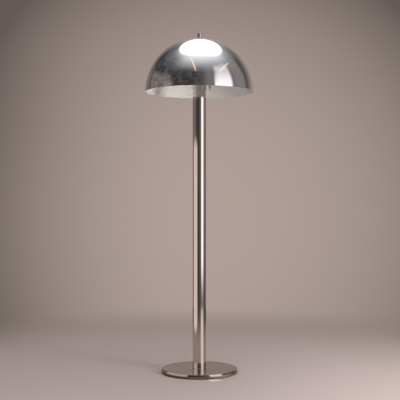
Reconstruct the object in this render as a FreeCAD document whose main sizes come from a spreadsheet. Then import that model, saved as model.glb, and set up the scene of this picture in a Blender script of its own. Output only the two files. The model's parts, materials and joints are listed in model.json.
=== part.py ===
import FreeCAD
import Part
import math
import os
import Sketcher
from types import SimpleNamespace

# Mushroom floor lamp: a hemispherical spun shade on a thick straight column and a round plate base.
# Millimetres, +Z up, origin on the floor at the column's axis. The front, where the photograph was
# taken from, is -Y. The cord is not part of the model: it would come in through the bushing at +Y.
#
# From the floor up: a felt ring, the base plate, the column tube with a long hollow tie rod inside
# it, the column cap, a neck sleeve, and a flat drum that holds the pull switch and carries two
# lampholders. One nut in the base recess and one in the drum clamp that whole stack on the tie rod.
# A riser above the drum carries the shade at its crown, under a washer and a finial.

# ---------------------------------------------------------------- driving dimensions

SIZES = {
    # Base
    "base_diameter": 320,  # base plate across
    "base_thickness": 16,  # base plate, without the felt
    "base_chamfer": 5.5,  # bevel round the top edge of the base
    "base_edge_break": 1,  # small bevel round the bottom edge of the base
    "felt_thickness": 3,  # felt ring under the base
    "felt_inset": 5,  # base edge to felt edge
    "felt_hole_inset": 2,  # recess edge to the felt's inner edge
    "recess_diameter": 84,  # nut recess under the base
    "recess_depth": 10,  # nut recess depth
    "cord_slot_width": 12,  # cord slot under the base, and its bushing
    "cord_slot_height": 9,  # cord slot height
    "cord_hole": 6.4,  # hole through the cord bushing
    "bushing_length": 10,  # cord bushing along the slot
    "bushing_corner": 2,  # round of the bushing's upper corners
    "bushing_setback": 0.5,  # base edge to the bushing's face
    # Column and the tie rod that clamps it
    "tube_diameter": 57.15,  # column tube outside
    "tube_wall": 1.6,  # column tube wall
    "tube_length": 1186,  # column tube
    "tube_foot_round": 1,  # round of the tube's lower edge, on the base
    "foot_height": 14,  # centring plug inside the tube's foot
    "foot_bevel": 1.5,  # bevel round the plug's top
    "rod_diameter": 10,  # hollow tie rod outside
    "rod_bore": 7,  # hollow tie rod bore
    "rod_floor_gap": 4,  # floor to the tie rod's lower end
    "wire_hole": 5.6,  # cross hole for the wires, inside the drum
    "wire_hole_height": 18.5,  # drum underside to the cross hole
    "nut_flats": 17,  # tie rod nuts across flats
    "nut_thickness": 5,  # tie rod nuts
    "washer_diameter": 36,  # washer above the base nut
    "washer_thickness": 2,  # washer above the base nut, and under the drum nut
    "drum_washer_diameter": 22,  # washer under the drum nut
    "cap_diameter": 61.2,  # column cap across
    "cap_lip": 6,  # how far the cap's lip reaches down the tube
    "cap_spigot": 12,  # how far the cap's spigot reaches into the tube
    "cap_band": 10,  # straight part of the cap above the tube's end
    "cap_crown": 8,  # rise of the cap's rounded shoulder
    "cap_shoulder": 34,  # radius of the cap's rounded shoulder
    "cap_landing": 2,  # flat ring on the cap, outside the neck sleeve
    "neck_diameter": 20,  # neck sleeve
    "neck_length": 44,  # neck sleeve
    # Fits
    "slip": 0.05,  # clearance of a threaded or running fit, on the radius
    "loose": 0.3,  # clearance of a piece that drops over a rod, on the radius
    "hole_gap": 0.2,  # clearance of a hole round a threaded piece, on the radius
    "tube_fit": 0.15,  # clearance round the tube, inside and outside, on the radius
    "nest_gap": 0.1,  # between the lampholder's nested shells, on the radius
    # Switch drum
    "drum_diameter": 112,  # switch drum
    "drum_height": 26,  # switch drum's pan
    "drum_corner": 4,  # round of the pan's lower edge
    "sheet_wall": 1.2,  # sheet of the drum's pan and lid
    "lid_skirt": 6,  # lid's turned-down edge
    "coupling_diameter": 16,  # coupling above the drum
    "coupling_length": 24,  # coupling above the drum
    "coupling_grip": 9,  # depth of each end's hole in the coupling
    "coupling_bevel": 1,  # bevel round the coupling's ends
    # Pull switch
    "chain_offset": 44,  # lamp axis to the pull chain
    "pull_travel": 8,  # how far the chain pulls down
    "nozzle_diameter": 9.5,  # threaded nozzle of the switch
    "nozzle_drop": 13,  # nozzle below the drum
    "nozzle_bore": 6.2,  # nozzle bore round the spring
    "nozzle_mouth": 3.8,  # hole for the chain at the nozzle's end
    "nozzle_shoulder": 2,  # thickness of the nozzle's end
    "nozzle_flange": 11.2,  # nozzle's flange inside the case
    "flange_thickness": 1,  # nozzle's flange
    "nozzle_nut_flats": 13,  # nut under the drum on the nozzle
    "nozzle_nut_thickness": 3,  # nut under the drum on the nozzle
    "case_wall": 1.2,  # switch case walls
    "case_floor": 2,  # switch case floor
    "case_height": 20.5,  # switch case
    "case_back": 7.5,  # chain axis to the back of the case
    "case_gap": 0.8,  # ratchet wheel to the case's side
    "rivet_diameter": 2.2,  # cover rivets
    "rivet_height": 0.8,  # cover rivets' heads
    "rivet_inset": 1.2,  # case side to rivet
    "rivet_drop": 3,  # case top to rivet
    "pivot_height": 11.5,  # drum underside to the lever's pin
    "pin_diameter": 3,  # lever and ratchet pin
    "wheel_radius": 7.2,  # ratchet wheel over its teeth
    "wheel_root": 6,  # ratchet wheel at the root of its teeth
    "wheel_thickness": 2.8,  # ratchet wheel
    "wheel_teeth": 8,  # teeth of the ratchet wheel
    "tooth_sink": 0.6,  # how far a tooth's outline reaches into the wheel
    "lever_offset": 1,  # chain axis to the lever's face
    "lever_thickness": 1.4,  # lever plate
    "lever_width": 3.2,  # lever arm
    "lever_disc": 8,  # lever plate round its pin
    "lever_sleeve": 6,  # sleeve that keeps the lever off the cover
    "sleeve_gap": 0.2,  # end of the sleeve to the cover
    "lever_gap": 0.4,  # lever to ratchet wheel
    "crank_diameter": 1.8,  # crank pin at the lever's end
    "crank_rim": 0.9,  # lever plate round the crank pin
    "pawl_width": 1.2,  # pawl on the lever
    "pawl_length": 1.4,  # pawl, outwards from the wheel's teeth
    "pawl_drop": 1.5,  # lever's centre line to the pawl's middle
    "pawl_depth": 2.2,  # pawl, from the lever's face to its end beside the wheel
    "eye_thickness": 1.2,  # flat eye on top of the plunger
    "eye_rise": 2.7,  # half height of the eye
    "eye_rim": 1.2,  # eye beside its slot
    "eye_slack": 0.25,  # clearance of the crank pin in the eye's slot
    "plunger_diameter": 2.4,  # plunger rod
    "collar_diameter": 5.8,  # collar of the plunger, on the spring
    "spring_wire": 0.5,  # return spring wire
    "spring_coils": 7,  # turns of the return spring
    "bead_diameter": 3.2,  # chain beads
    "bead_pitch": 4.45,  # bead to bead
    "bead_count": 8,  # beads of the chain
    "bead_wire": 1,  # wire between the beads
    "knob_diameter": 12.7,  # pull knob
    "knob_tip": 7,  # narrow lower end of the pull knob
    "knob_height": 27,  # pull knob
    "knob_neck": 10.8,  # narrow part of the knob
    "knob_shoulder": 18.9,  # knob's lower end to where its top starts to taper
    "knob_taper": 10.8,  # radius of the taper at the knob's top
    "knob_collar": 3.8,  # knob's top, round the chain
    "strip_length": 4,  # switch contact strips, upwards
    "strip_width": 3.6,  # switch contact strips
    "strip_thickness": 0.5,  # switch contact strips
    "strip_gap": 4,  # between the two contact strips
    "strip_offset": 2.4,  # chain axis to the strips' edge
    "terminal_diameter": 3.6,  # switch terminal screws
    "terminal_height": 1.6,  # switch terminal screws' heads
    # Lampholders
    "socket_azimuth": 45,  # direction of the first lampholder, degrees from +X
    "socket_height": 14,  # drum underside to the lampholders' axis
    "socket_hub": 13,  # lampholder cap, at the drum
    "socket_hub_length": 4,  # lampholder cap's hub
    "socket_shoulder": 14,  # radius of the cap's shoulder
    "socket_shoulder_length": 6,  # cap's shoulder, along the axis
    "socket_cap_diameter": 34.4,  # lampholder cap
    "socket_cap_length": 20,  # lampholder cap
    "socket_sheet": 0.7,  # sheet of the lampholder's cap, shell and liner
    "shell_start": 11,  # lampholder's face at the drum to its shell
    "socket_shell_length": 46,  # lampholder shell
    "liner_margin": 1,  # each end of the liner inside the shell
    "core_margin": 2,  # shell's start to the core
    "shell_bead": 0.8,  # rolled bead round the shell
    "shell_bead_length": 2.4,  # rolled bead, along the shell
    "shell_bead_round": 1.3,  # radius of the rolled bead
    "shell_bead_inset": 8,  # shell's mouth to the bead
    "core_length": 16,  # moulded core of the lampholder
    "core_bore": 5,  # hole through the core for the wires
    "side_recess_start": 6,  # core axis to the core's side recesses
    "side_recess_width": 8,  # core's side recesses
    "side_recess_depth": 9.6,  # core's side recesses, from its outer end
    "terminal_screw": 5.2,  # lampholder's terminal screws
    "terminal_screw_rise": 3,  # terminal screws' heads
    "terminal_screw_level": 11.2,  # core's inner end to the terminal screws
    "brass_sheet": 0.4,  # screw shell, and the bulb's base
    "screw_shell_radius": 13.35,  # inside of the screw shell
    "screw_shell_length": 24,  # screw shell
    "screw_shell_hole": 16,  # hole in the screw shell's floor
    "contact_width": 4,  # centre contact's tongue
    "contact_sheet": 0.5,  # centre contact's tongue
    "contact_rise": 3,  # centre contact above the core
    "contact_foot": 7,  # core axis to the end of the tongue's foot
    "contact_lean": 2.5,  # core axis to the tongue's tip, on the other side
    "nipple_diameter": 9.7,  # threaded nipple of a lampholder
    "nipple_bore": 7,  # nipple bore
    "nipple_inside": 8,  # nipple inside the drum's wall
    "nipple_end": 2,  # nipple's end beyond the drum's wall and the hub
    "nipple_nut_flats": 14,  # nuts that hold the lampholders
    "nipple_nut_thickness": 3,  # nuts that hold the lampholders
    "nipple_nut_gap": 0.6,  # drum's wall to the flat nut at its corners
    # Bulbs
    "bulb_base_radius": 13.1,  # bulb's screw base
    "bulb_base_length": 25,  # bulb's screw base with its tip
    "bulb_tip": 9,  # contact at the bulb base's end
    "bulb_tip_bevel": 1,  # step from the bulb's contact to the insulator, on the radius
    "bulb_tip_thickness": 3,  # closed end of the bulb's base
    "bulb_insulator": 2,  # cone from the closed end to the bulb base's wall
    "bulb_base_floor": 3,  # cone inside the bulb's base
    "bulb_grip": 6,  # glass inside the bulb's base
    "bulb_radius": 25,  # bulb glass
    "bulb_glass_length": 68,  # bulb glass above its base
    "bulb_neck_radius": 12,  # bulb glass at its neck
    "bulb_flare": 40,  # radius where the bulb's neck runs into its round end
    "glass_wall": 0.8,  # bulb glass wall
    # Riser and shade
    "riser_diameter": 8,  # riser rod
    "riser_length": 94,  # riser rod, from its lower end to its shoulder
    "stud_diameter": 6,  # threaded end of the riser
    "stud_grip": 11,  # stud inside the finial
    "seat_diameter": 25,  # crown seat under the shade
    "seat_height": 8,  # crown seat
    "seat_hub": 14,  # narrow foot of the crown seat
    "seat_hub_height": 3.2,  # narrow foot of the crown seat
    "seat_edge": 2,  # straight edge at the crown seat's top
    "gasket_thickness": 1,  # rubber gasket on the crown seat
    "shade_radius": 228.6,  # shade's outside, a half sphere
    "shade_wall": 1.5,  # shade's sheet
    "crown_flat": 13,  # radius of the small flat at the shade's crown
    "crown_hole": 6.6,  # hole in the crown
    "crown_washer_diameter": 22,  # washer under the finial
    "crown_washer_thickness": 1.5,  # washer under the finial
    "washer_round": 0.5,  # round on the crown washer's edge
    "finial_diameter": 16,  # finial
    "finial_height": 19,  # finial
    "finial_bevel": 0.8,  # bevel round the finial's ends
    "finial_end_gap": 2,  # stud's end to the bottom of the finial's hole
}

doc = FreeCAD.newDocument("mushroom_floor_lamp")
sheet = doc.addObject("Spreadsheet::Sheet", "Sizes")
pieces = []
LEFT, RIGHT = 1, -1


# ---------------------------------------------------------------- sizes and formulas


class Size:
    """A number with the sheet formula that gives it, so that sums of sizes stay bound to the sheet."""

    def __init__(self, value, formula):
        self.value = value
        self.formula = formula

    def __add__(self, other):
        other = as_size(other)
        return Size(self.value + other.value, f"({self.formula} + {other.formula})")

    def __sub__(self, other):
        other = as_size(other)
        return Size(self.value - other.value, f"({self.formula} - {other.formula})")

    def __mul__(self, other):
        other = as_size(other)
        return Size(self.value * other.value, f"({self.formula} * {other.formula})")

    def __truediv__(self, other):
        other = as_size(other)
        return Size(self.value / other.value, f"({self.formula} / {other.formula})")

    def __radd__(self, other):
        return as_size(other) + self

    def __rsub__(self, other):
        return as_size(other) - self

    def __rmul__(self, other):
        return as_size(other) * self

    def __rtruediv__(self, other):
        return as_size(other) / self

    def __neg__(self):
        return as_size(0) - self


def as_size(number):
    return number if isinstance(number, Size) else Size(float(number), f"{float(number):.9f}")


def fill_sheet():
    """Writes each driving dimension into its own named cell, and gives them as sizes by name."""
    named = {}
    for row, (alias, value) in enumerate(SIZES.items(), 1):
        sheet.set(f"A{row}", alias)
        sheet.set(f"B{row}", str(value))
        sheet.setAlias(f"B{row}", alias)
        named[alias] = Size(float(value), f"Sizes.{alias}")
    return SimpleNamespace(**named)


def root(size):
    return Size(math.sqrt(size.value), f"sqrt({size.formula})")


def cosine(degrees):
    return Size(math.cos(math.radians(degrees.value)), f"cos({degrees.formula})")


def sine(degrees):
    return Size(math.sin(math.radians(degrees.value)), f"sin({degrees.formula})")


# ---------------------------------------------------------------- sketches and features


def new_body(label):
    body = doc.addObject("PartDesign::Body", label)
    body.Label = label
    pieces.append(body)
    return body


def place(item, x=0, y=0, z=0, yaw=0, pitch=0, roll=0):
    """Puts a piece at x, y, z, turned about X by roll, then about Y by pitch and about Z by yaw."""
    x, y, z, yaw, pitch, roll = (as_size(n).formula for n in (x, y, z, yaw, pitch, roll))
    spot = f"vector({x}; {y}; {z})"
    item.setExpression("Placement", f"placement({spot}; rotation({yaw}; {pitch}; {roll}))")


def sketch_on(body, role, height=0, turn=None):
    """A sketch on one of the body's origin planes, raised along the plane's normal, and turned
    about the sketch's own vertical by the angle turn."""
    plane = next(p for p in body.Origin.OriginFeatures if p.Role == role)
    sketch = body.newObject("Sketcher::SketchObject", body.Name + "_sketch")
    sketch.AttachmentSupport = [(plane, "")]
    sketch.MapMode = "FlatFace"
    if turn is not None:
        upright = FreeCAD.Rotation(FreeCAD.Vector(0, 1, 0), turn.value)
        sketch.AttachmentOffset = FreeCAD.Placement(FreeCAD.Vector(), upright)
        sketch.setExpression("AttachmentOffset.Rotation.Angle", turn.formula)
    sketch.setExpression("AttachmentOffset.Base.z", as_size(height).formula)
    return sketch


def fix_point(sketch, geometry, end, x, y):
    """Fixes one point of a sketch at x, y by dimensions from the origin."""
    for kind, size, axis in (("DistanceX", x, -2), ("DistanceY", y, -1)):
        if abs(size.value) < 1e-9:
            sketch.addConstraint(Sketcher.Constraint("PointOnObject", geometry, end, axis))
        else:
            rule = Sketcher.Constraint(kind, -1, 1, geometry, end, size.value)
            number = sketch.addConstraint(rule)
            sketch.setExpression(f"Constraints[{number}]", size.formula)


def arc_between(start, end, radius, side):
    """The short arc from start to end whose centre lies on that side of the way."""
    way = end - start
    normal = FreeCAD.Vector(-way.y, way.x, 0).normalize() * side
    rise = math.sqrt(max(0.0, radius**2 - (way.Length / 2) ** 2))
    centre = (start + end) / 2 + normal * rise
    first, last = (start, end) if side == LEFT else (end, start)
    first_angle = math.atan2(first.y - centre.y, first.x - centre.x)
    last_angle = math.atan2(last.y - centre.y, last.x - centre.x)
    if last_angle < first_angle:
        last_angle += 2 * math.pi
    circle = Part.Circle(centre, FreeCAD.Vector(0, 0, 1), radius)
    return Part.ArcOfCircle(circle, first_angle, last_angle)


def draw_outline(sketch, corners):
    """A closed outline. A corner is (x, y), reached by a straight line, or (x, y, radius, side),
    reached by an arc whose centre lies LEFT or RIGHT of the way from the corner before."""
    corners = [tuple(as_size(value) for value in c[:3]) + tuple(c[3:]) for c in corners]
    points = [FreeCAD.Vector(c[0].value, c[1].value, 0) for c in corners]
    ends = []
    for index, corner in enumerate(corners):
        start, end = points[index - 1], points[index]
        if len(corner) == 2:
            number = sketch.addGeometry(Part.LineSegment(start, end))
            ends.append((number, 1, 2))
        else:
            arc = arc_between(start, end, corner[2].value, corner[3])
            number = sketch.addGeometry(arc)
            ends.append((number, 1, 2) if corner[3] == LEFT else (number, 2, 1))
    for index, corner in enumerate(corners):
        number, _, last = ends[index]
        following, first, _ = ends[(index + 1) % len(ends)]
        sketch.addConstraint(Sketcher.Constraint("Coincident", number, last, following, first))
        fix_point(sketch, number, last, corner[0], corner[1])
        if len(corner) == 4:
            rule = Sketcher.Constraint("Radius", number, corner[2].value)
            rule_number = sketch.addConstraint(rule)
            sketch.setExpression(f"Constraints[{rule_number}]", corner[2].formula)


def draw_circle(sketch, x, y, radius):
    x, y, radius = as_size(x), as_size(y), as_size(radius)
    centre = FreeCAD.Vector(x.value, y.value, 0)
    circle = Part.Circle(centre, FreeCAD.Vector(0, 0, 1), radius.value)
    number = sketch.addGeometry(circle)
    fix_point(sketch, number, 3, x, y)
    rule_number = sketch.addConstraint(Sketcher.Constraint("Radius", number, radius.value))
    sketch.setExpression(f"Constraints[{rule_number}]", radius.formula)


def draw_box(sketch, left, bottom, right, top):
    draw_outline(sketch, [(left, bottom), (right, bottom), (right, top), (left, top)])


def draw_hexagon(sketch, across_flats):
    """A hexagon about the origin with two corners on the X axis."""
    radius = across_flats / math.sqrt(3)
    turns = [math.radians(60 * corner) for corner in range(6)]
    draw_outline(sketch, [(radius * math.cos(a), radius * round(math.sin(a), 12)) for a in turns])


def volume_of(body):
    doc.recompute()
    return body.Shape.Volume if body.Tip and not body.Shape.isNull() else 0.0


def feature(body, kind, name, sketch, adds, **values):
    """Adds one sketch-based feature and checks that it added or removed material."""
    before = volume_of(body)
    item = body.newObject(f"PartDesign::{kind}", f"{body.Name}_{name}")
    item.Profile = sketch
    for key, value in values.items():
        if isinstance(value, Size):
            item.setExpression(key, value.formula)
        else:
            setattr(item, key, value)
    after = volume_of(body)
    if (after - before) * (1 if adds else -1) < 1e-6:
        raise RuntimeError(f"{item.Name} changed nothing")
    return item


def pad(body, name, sketch, length, **values):
    return feature(body, "Pad", name, sketch, True, Length=as_size(length), **values)


def pocket(body, name, sketch, length, **values):
    return feature(body, "Pocket", name, sketch, False, Length=as_size(length), **values)


def pocket_through(body, name, sketch):
    """Cuts a sketch's outline right through the body, both ways from the sketch."""
    return feature(body, "Pocket", name, sketch, False, Type="ThroughAll", Midplane=True)


def revolve(body, sketch):
    axis = (sketch, ["V_Axis"])
    return feature(body, "Revolution", "turned", sketch, True, ReferenceAxis=axis, Angle=360)


def turned(label, corners):
    """A piece turned about its own Z axis, from corners (radius, height)."""
    body = new_body(label)
    sketch = sketch_on(body, "XZ_Plane")
    draw_outline(sketch, corners)
    revolve(body, sketch)
    return body


def ring(label, inner_radius, outer_radius, height):
    """A plain washer, tube or sleeve, standing on its own origin plane."""
    corners = [(inner_radius, 0), (outer_radius, 0), (outer_radius, height), (inner_radius, height)]
    return turned(label, corners)


def round_edges(body, kind, size, rims):
    """Fillets or chamfers the body's round edges that lie at the given (radius, height) pairs."""
    doc.recompute()
    base = body.Tip
    names = []
    for number, edge in enumerate(base.Shape.Edges, 1):
        if not isinstance(edge.Curve, Part.Circle):
            continue
        spot = (edge.Curve.Radius, edge.Curve.Center.z)
        for radius, height in rims:
            wanted = (as_size(radius).value, as_size(height).value)
            if abs(spot[0] - wanted[0]) < 1e-4 and abs(spot[1] - wanted[1]) < 1e-4:
                names.append(f"Edge{number}")
    if len(names) < len(rims):
        raise RuntimeError(f"{body.Name}: an edge to finish was not found")
    before = volume_of(body)
    item = body.newObject(f"PartDesign::{kind}", f"{body.Name}_{kind.lower()}")
    item.Base = (base, names)
    item.setExpression("Radius" if kind == "Fillet" else "Size", as_size(size).formula)
    if abs(volume_of(body) - before) < 1e-9:
        raise RuntimeError(f"{item.Name} changed nothing")


def nut(label, across_flats, thickness, bore_radius):
    """A hexagon nut that stands on its own origin plane, its corners turned off at the top."""
    body = new_body(label)
    sketch = sketch_on(body, "XY_Plane")
    draw_hexagon(sketch, across_flats)
    draw_circle(sketch, 0, 0, bore_radius)
    pad(body, "hexagon", sketch, thickness)
    turn_off = body.newObject("Sketcher::SketchObject", label + "_corner_sketch")
    plane = next(p for p in body.Origin.OriginFeatures if p.Role == "XZ_Plane")
    turn_off.AttachmentSupport = [(plane, "")]
    turn_off.MapMode = "FlatFace"
    corner = across_flats / math.sqrt(3)
    flat = across_flats / 2
    drop = (corner + 1 - flat) * 0.5
    outline = [(flat, thickness), (corner + 1, thickness - drop), (corner + 1, thickness)]
    draw_outline(turn_off, outline)
    groove_axis = (turn_off, ["V_Axis"])
    feature(body, "Groove", "corners", turn_off, False, ReferenceAxis=groove_axis, Angle=360)
    return body


def pattern(body, kind, name, original, **values):
    """Repeats a feature and makes the repeated one the body's tip."""
    item = body.newObject(f"PartDesign::{kind}", f"{body.Name}_{name}")
    item.Originals = [original]
    for key, value in values.items():
        if isinstance(value, Size):
            item.setExpression(key, value.formula)
        else:
            setattr(item, key, value)
    body.Tip = item
    doc.recompute()
    return item


# ---------------------------------------------------------------- levels, from the floor up

dim = fill_sheet()
base_bottom = dim.felt_thickness
base_top = base_bottom + dim.base_thickness
recess_top = base_bottom + dim.recess_depth
tube_top = base_top + dim.tube_length
cap_bottom = tube_top - dim.cap_spigot
cap_top = tube_top + dim.cap_band + dim.cap_crown
drum_bottom = cap_top + dim.neck_length
drum_top = drum_bottom + dim.drum_height
lid_top = drum_top + dim.sheet_wall
coupling_top = lid_top + dim.coupling_length
rod_end_gap = dim.loose
rod_top = lid_top + dim.coupling_grip - rod_end_gap
riser_bottom = coupling_top - dim.coupling_grip + rod_end_gap
shoulder = riser_bottom + dim.riser_length
seat_top = shoulder + dim.seat_height
gasket_top = seat_top + dim.gasket_thickness
crown_rise = root(dim.shade_radius * dim.shade_radius - dim.crown_flat * dim.crown_flat)
rim_level = gasket_top - (crown_rise - dim.shade_wall)
crown_top = rim_level + crown_rise
finial_bottom = crown_top + dim.crown_washer_thickness

rod_radius = dim.rod_diameter / 2
rod_hole = rod_radius + dim.loose
tube_inside = dim.tube_diameter / 2 - dim.tube_wall


# ---------------------------------------------------------------- base


def build_base():
    """Felt ring, bevelled plate with its nut recess and cord slot, bushing, washer and nut."""
    outside = dim.base_diameter / 2
    recess = dim.recess_diameter / 2
    felt_hole = recess + dim.felt_hole_inset
    ring("felt_pad", felt_hole, outside - dim.felt_inset, dim.felt_thickness)

    plate = turned(
        "base_plate",
        [
            (recess, 0),
            (outside - dim.base_edge_break, 0),
            (outside, dim.base_edge_break),
            (outside, dim.base_thickness - dim.base_chamfer),
            (outside - dim.base_chamfer, dim.base_thickness),
            (rod_hole, dim.base_thickness),
            (rod_hole, dim.recess_depth),
            (recess, dim.recess_depth),
        ],
    )
    half_slot = dim.cord_slot_width / 2
    overrun = 5
    slot = sketch_on(plate, "XY_Plane")
    draw_box(slot, -half_slot, recess - overrun, half_slot, outside + overrun)
    pocket(plate, "cord_slot", slot, dim.cord_slot_height, Reversed=True)
    place(plate, z=base_bottom)

    # The bushing fills the slot's mouth and ends just inside the round edge.
    bushing = new_body("cord_bushing")
    block = sketch_on(bushing, "XZ_Plane")
    corner = dim.bushing_corner
    side = half_slot - dim.hole_gap
    top = dim.cord_slot_height - dim.hole_gap
    draw_outline(
        block,
        [
            (-side, 0),
            (side, 0),
            (side, top - corner),
            (side - corner, top, corner, LEFT),
            (corner - side, top),
            (-side, top - corner, corner, LEFT),
        ],
    )
    draw_circle(block, 0, top / 2, dim.cord_hole / 2)
    pad(bushing, "block", block, dim.bushing_length)
    place(bushing, y=outside - dim.bushing_setback, z=base_bottom)

    washer = ring("base_washer", rod_hole, dim.washer_diameter / 2, dim.washer_thickness)
    place(washer, z=recess_top - dim.washer_thickness)
    base_nut = nut("base_nut", dim.nut_flats, dim.nut_thickness, rod_radius + dim.slip)
    place(base_nut, z=recess_top - dim.washer_thickness, roll=180)


# ---------------------------------------------------------------- column


def build_column():
    """Tube with its centring plug, the tie rod through it, the cap on it and the neck above."""
    tube = ring("column_tube", tube_inside, dim.tube_diameter / 2, dim.tube_length)
    round_edges(tube, "Fillet", dim.tube_foot_round, [(dim.tube_diameter / 2, 0)])
    place(tube, z=base_top)

    plug_radius = tube_inside - dim.tube_fit
    plug = ring("tube_foot", rod_hole, plug_radius, dim.foot_height)
    round_edges(plug, "Chamfer", dim.foot_bevel, [(plug_radius, dim.foot_height)])
    place(plug, z=base_top)

    rod_length = rod_top - dim.rod_floor_gap
    rod = ring("tie_rod", dim.rod_bore / 2, rod_radius, rod_length)
    wire_hole = sketch_on(rod, "XZ_Plane")
    hole_level = drum_bottom + dim.wire_hole_height - dim.rod_floor_gap
    draw_circle(wire_hole, 0, hole_level, dim.wire_hole / 2)
    pocket_through(rod, "wire_hole", wire_hole)
    place(rod, z=dim.rod_floor_gap)

    outside = dim.cap_diameter / 2
    lip_inside = dim.tube_diameter / 2 + dim.tube_fit
    spigot = plug_radius
    band_top = dim.cap_spigot + dim.cap_band
    landing = dim.neck_diameter / 2 + dim.cap_landing
    cap = turned(
        "column_cap",
        [
            (rod_hole, 0),
            (spigot, 0),
            (spigot, dim.cap_spigot),
            (lip_inside, dim.cap_spigot),
            (lip_inside, dim.cap_spigot - dim.cap_lip),
            (outside, dim.cap_spigot - dim.cap_lip),
            (outside, band_top),
            (landing, band_top + dim.cap_crown, dim.cap_shoulder, LEFT),
            (rod_hole, band_top + dim.cap_crown),
        ],
    )
    place(cap, z=cap_bottom)

    neck = ring("neck_sleeve", rod_hole, dim.neck_diameter / 2, dim.neck_length)
    place(neck, z=cap_top)


# ---------------------------------------------------------------- switch drum


def build_drum():
    """Pressed pan and lid, clamped by a nut inside and by the coupling on top."""
    outside = dim.drum_diameter / 2
    inside = outside - dim.sheet_wall
    floor = dim.sheet_wall
    inner_corner = dim.drum_corner - dim.sheet_wall
    pan = turned(
        "drum_pan",
        [
            (rod_hole, 0),
            (outside - dim.drum_corner, 0),
            (outside, dim.drum_corner, dim.drum_corner, LEFT),
            (outside, dim.drum_height),
            (inside, dim.drum_height),
            (inside, dim.drum_corner),
            (outside - dim.drum_corner, floor, inner_corner, RIGHT),
            (rod_hole, floor),
        ],
    )
    nozzle_hole = sketch_on(pan, "XY_Plane")
    draw_circle(nozzle_hole, dim.chain_offset, 0, dim.nozzle_diameter / 2 + dim.hole_gap)
    pocket(pan, "nozzle_hole", nozzle_hole, dim.sheet_wall * 2, Reversed=True)
    nipple_holes = sketch_on(pan, "XZ_Plane", turn=dim.socket_azimuth + 90)
    draw_circle(nipple_holes, 0, dim.socket_height, dim.nipple_diameter / 2 + dim.hole_gap)
    pocket_through(pan, "nipple_holes", nipple_holes)
    place(pan, z=drum_bottom)

    washer = ring("drum_washer", rod_hole, dim.drum_washer_diameter / 2, dim.washer_thickness)
    place(washer, z=drum_bottom + dim.sheet_wall)
    locknut = nut("drum_nut", dim.nut_flats, dim.nut_thickness, rod_radius + dim.slip)
    place(locknut, z=drum_bottom + dim.sheet_wall + dim.washer_thickness)

    lid_inside = outside + dim.loose
    lid_outside = lid_inside + dim.sheet_wall
    lid_corner = dim.sheet_wall + dim.loose
    lid = turned(
        "drum_lid",
        [
            (rod_hole, dim.lid_skirt - dim.sheet_wall),
            (lid_inside - lid_corner + dim.sheet_wall, dim.lid_skirt - dim.sheet_wall),
            (lid_inside, dim.lid_skirt - lid_corner, lid_corner - dim.sheet_wall, RIGHT),
            (lid_inside, 0),
            (lid_outside, 0),
            (lid_outside, dim.lid_skirt - lid_corner),
            (lid_outside - lid_corner, dim.lid_skirt, lid_corner, LEFT),
            (rod_hole, dim.lid_skirt),
        ],
    )
    place(lid, z=lid_top - dim.lid_skirt)

    coupling = turned(
        "riser_coupling",
        [
            (0, dim.coupling_grip),
            (rod_radius + dim.slip, dim.coupling_grip),
            (rod_radius + dim.slip, 0),
            (dim.coupling_diameter / 2, 0),
            (dim.coupling_diameter / 2, dim.coupling_length),
            (dim.riser_diameter / 2 + dim.slip, dim.coupling_length),
            (dim.riser_diameter / 2 + dim.slip, dim.coupling_length - dim.coupling_grip),
            (0, dim.coupling_length - dim.coupling_grip),
        ],
    )
    rims = [(dim.coupling_diameter / 2, 0), (dim.coupling_diameter / 2, dim.coupling_length)]
    round_edges(coupling, "Chamfer", dim.coupling_bevel, rims)
    place(coupling, z=lid_top)


# ---------------------------------------------------------------- pull switch

tooth_step = 360 / dim.wheel_teeth
swing = tooth_step
lever_length = dim.pull_travel / (swing * math.pi / 180)
pivot_x = dim.chain_offset - lever_length
pivot_z = drum_bottom + dim.pivot_height
case_bottom = drum_bottom + dim.sheet_wall
case_left = pivot_x - dim.wheel_radius - dim.case_gap - dim.case_wall
case_right = dim.chain_offset + dim.nozzle_flange / 2 + dim.hole_gap + dim.case_wall
case_depth = dim.case_back * 2
lever_back = dim.lever_offset + dim.lever_thickness
wheel_back = lever_back + dim.lever_gap + dim.wheel_thickness
crank_disc = dim.crank_diameter / 2 + dim.crank_rim


def stand_on_edge(item, x, y, z, pitch=0):
    """Puts a piece that is drawn flat upright, with its padded side to the front."""
    place(item, x=x, y=y, z=z, pitch=pitch, roll=90)


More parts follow.
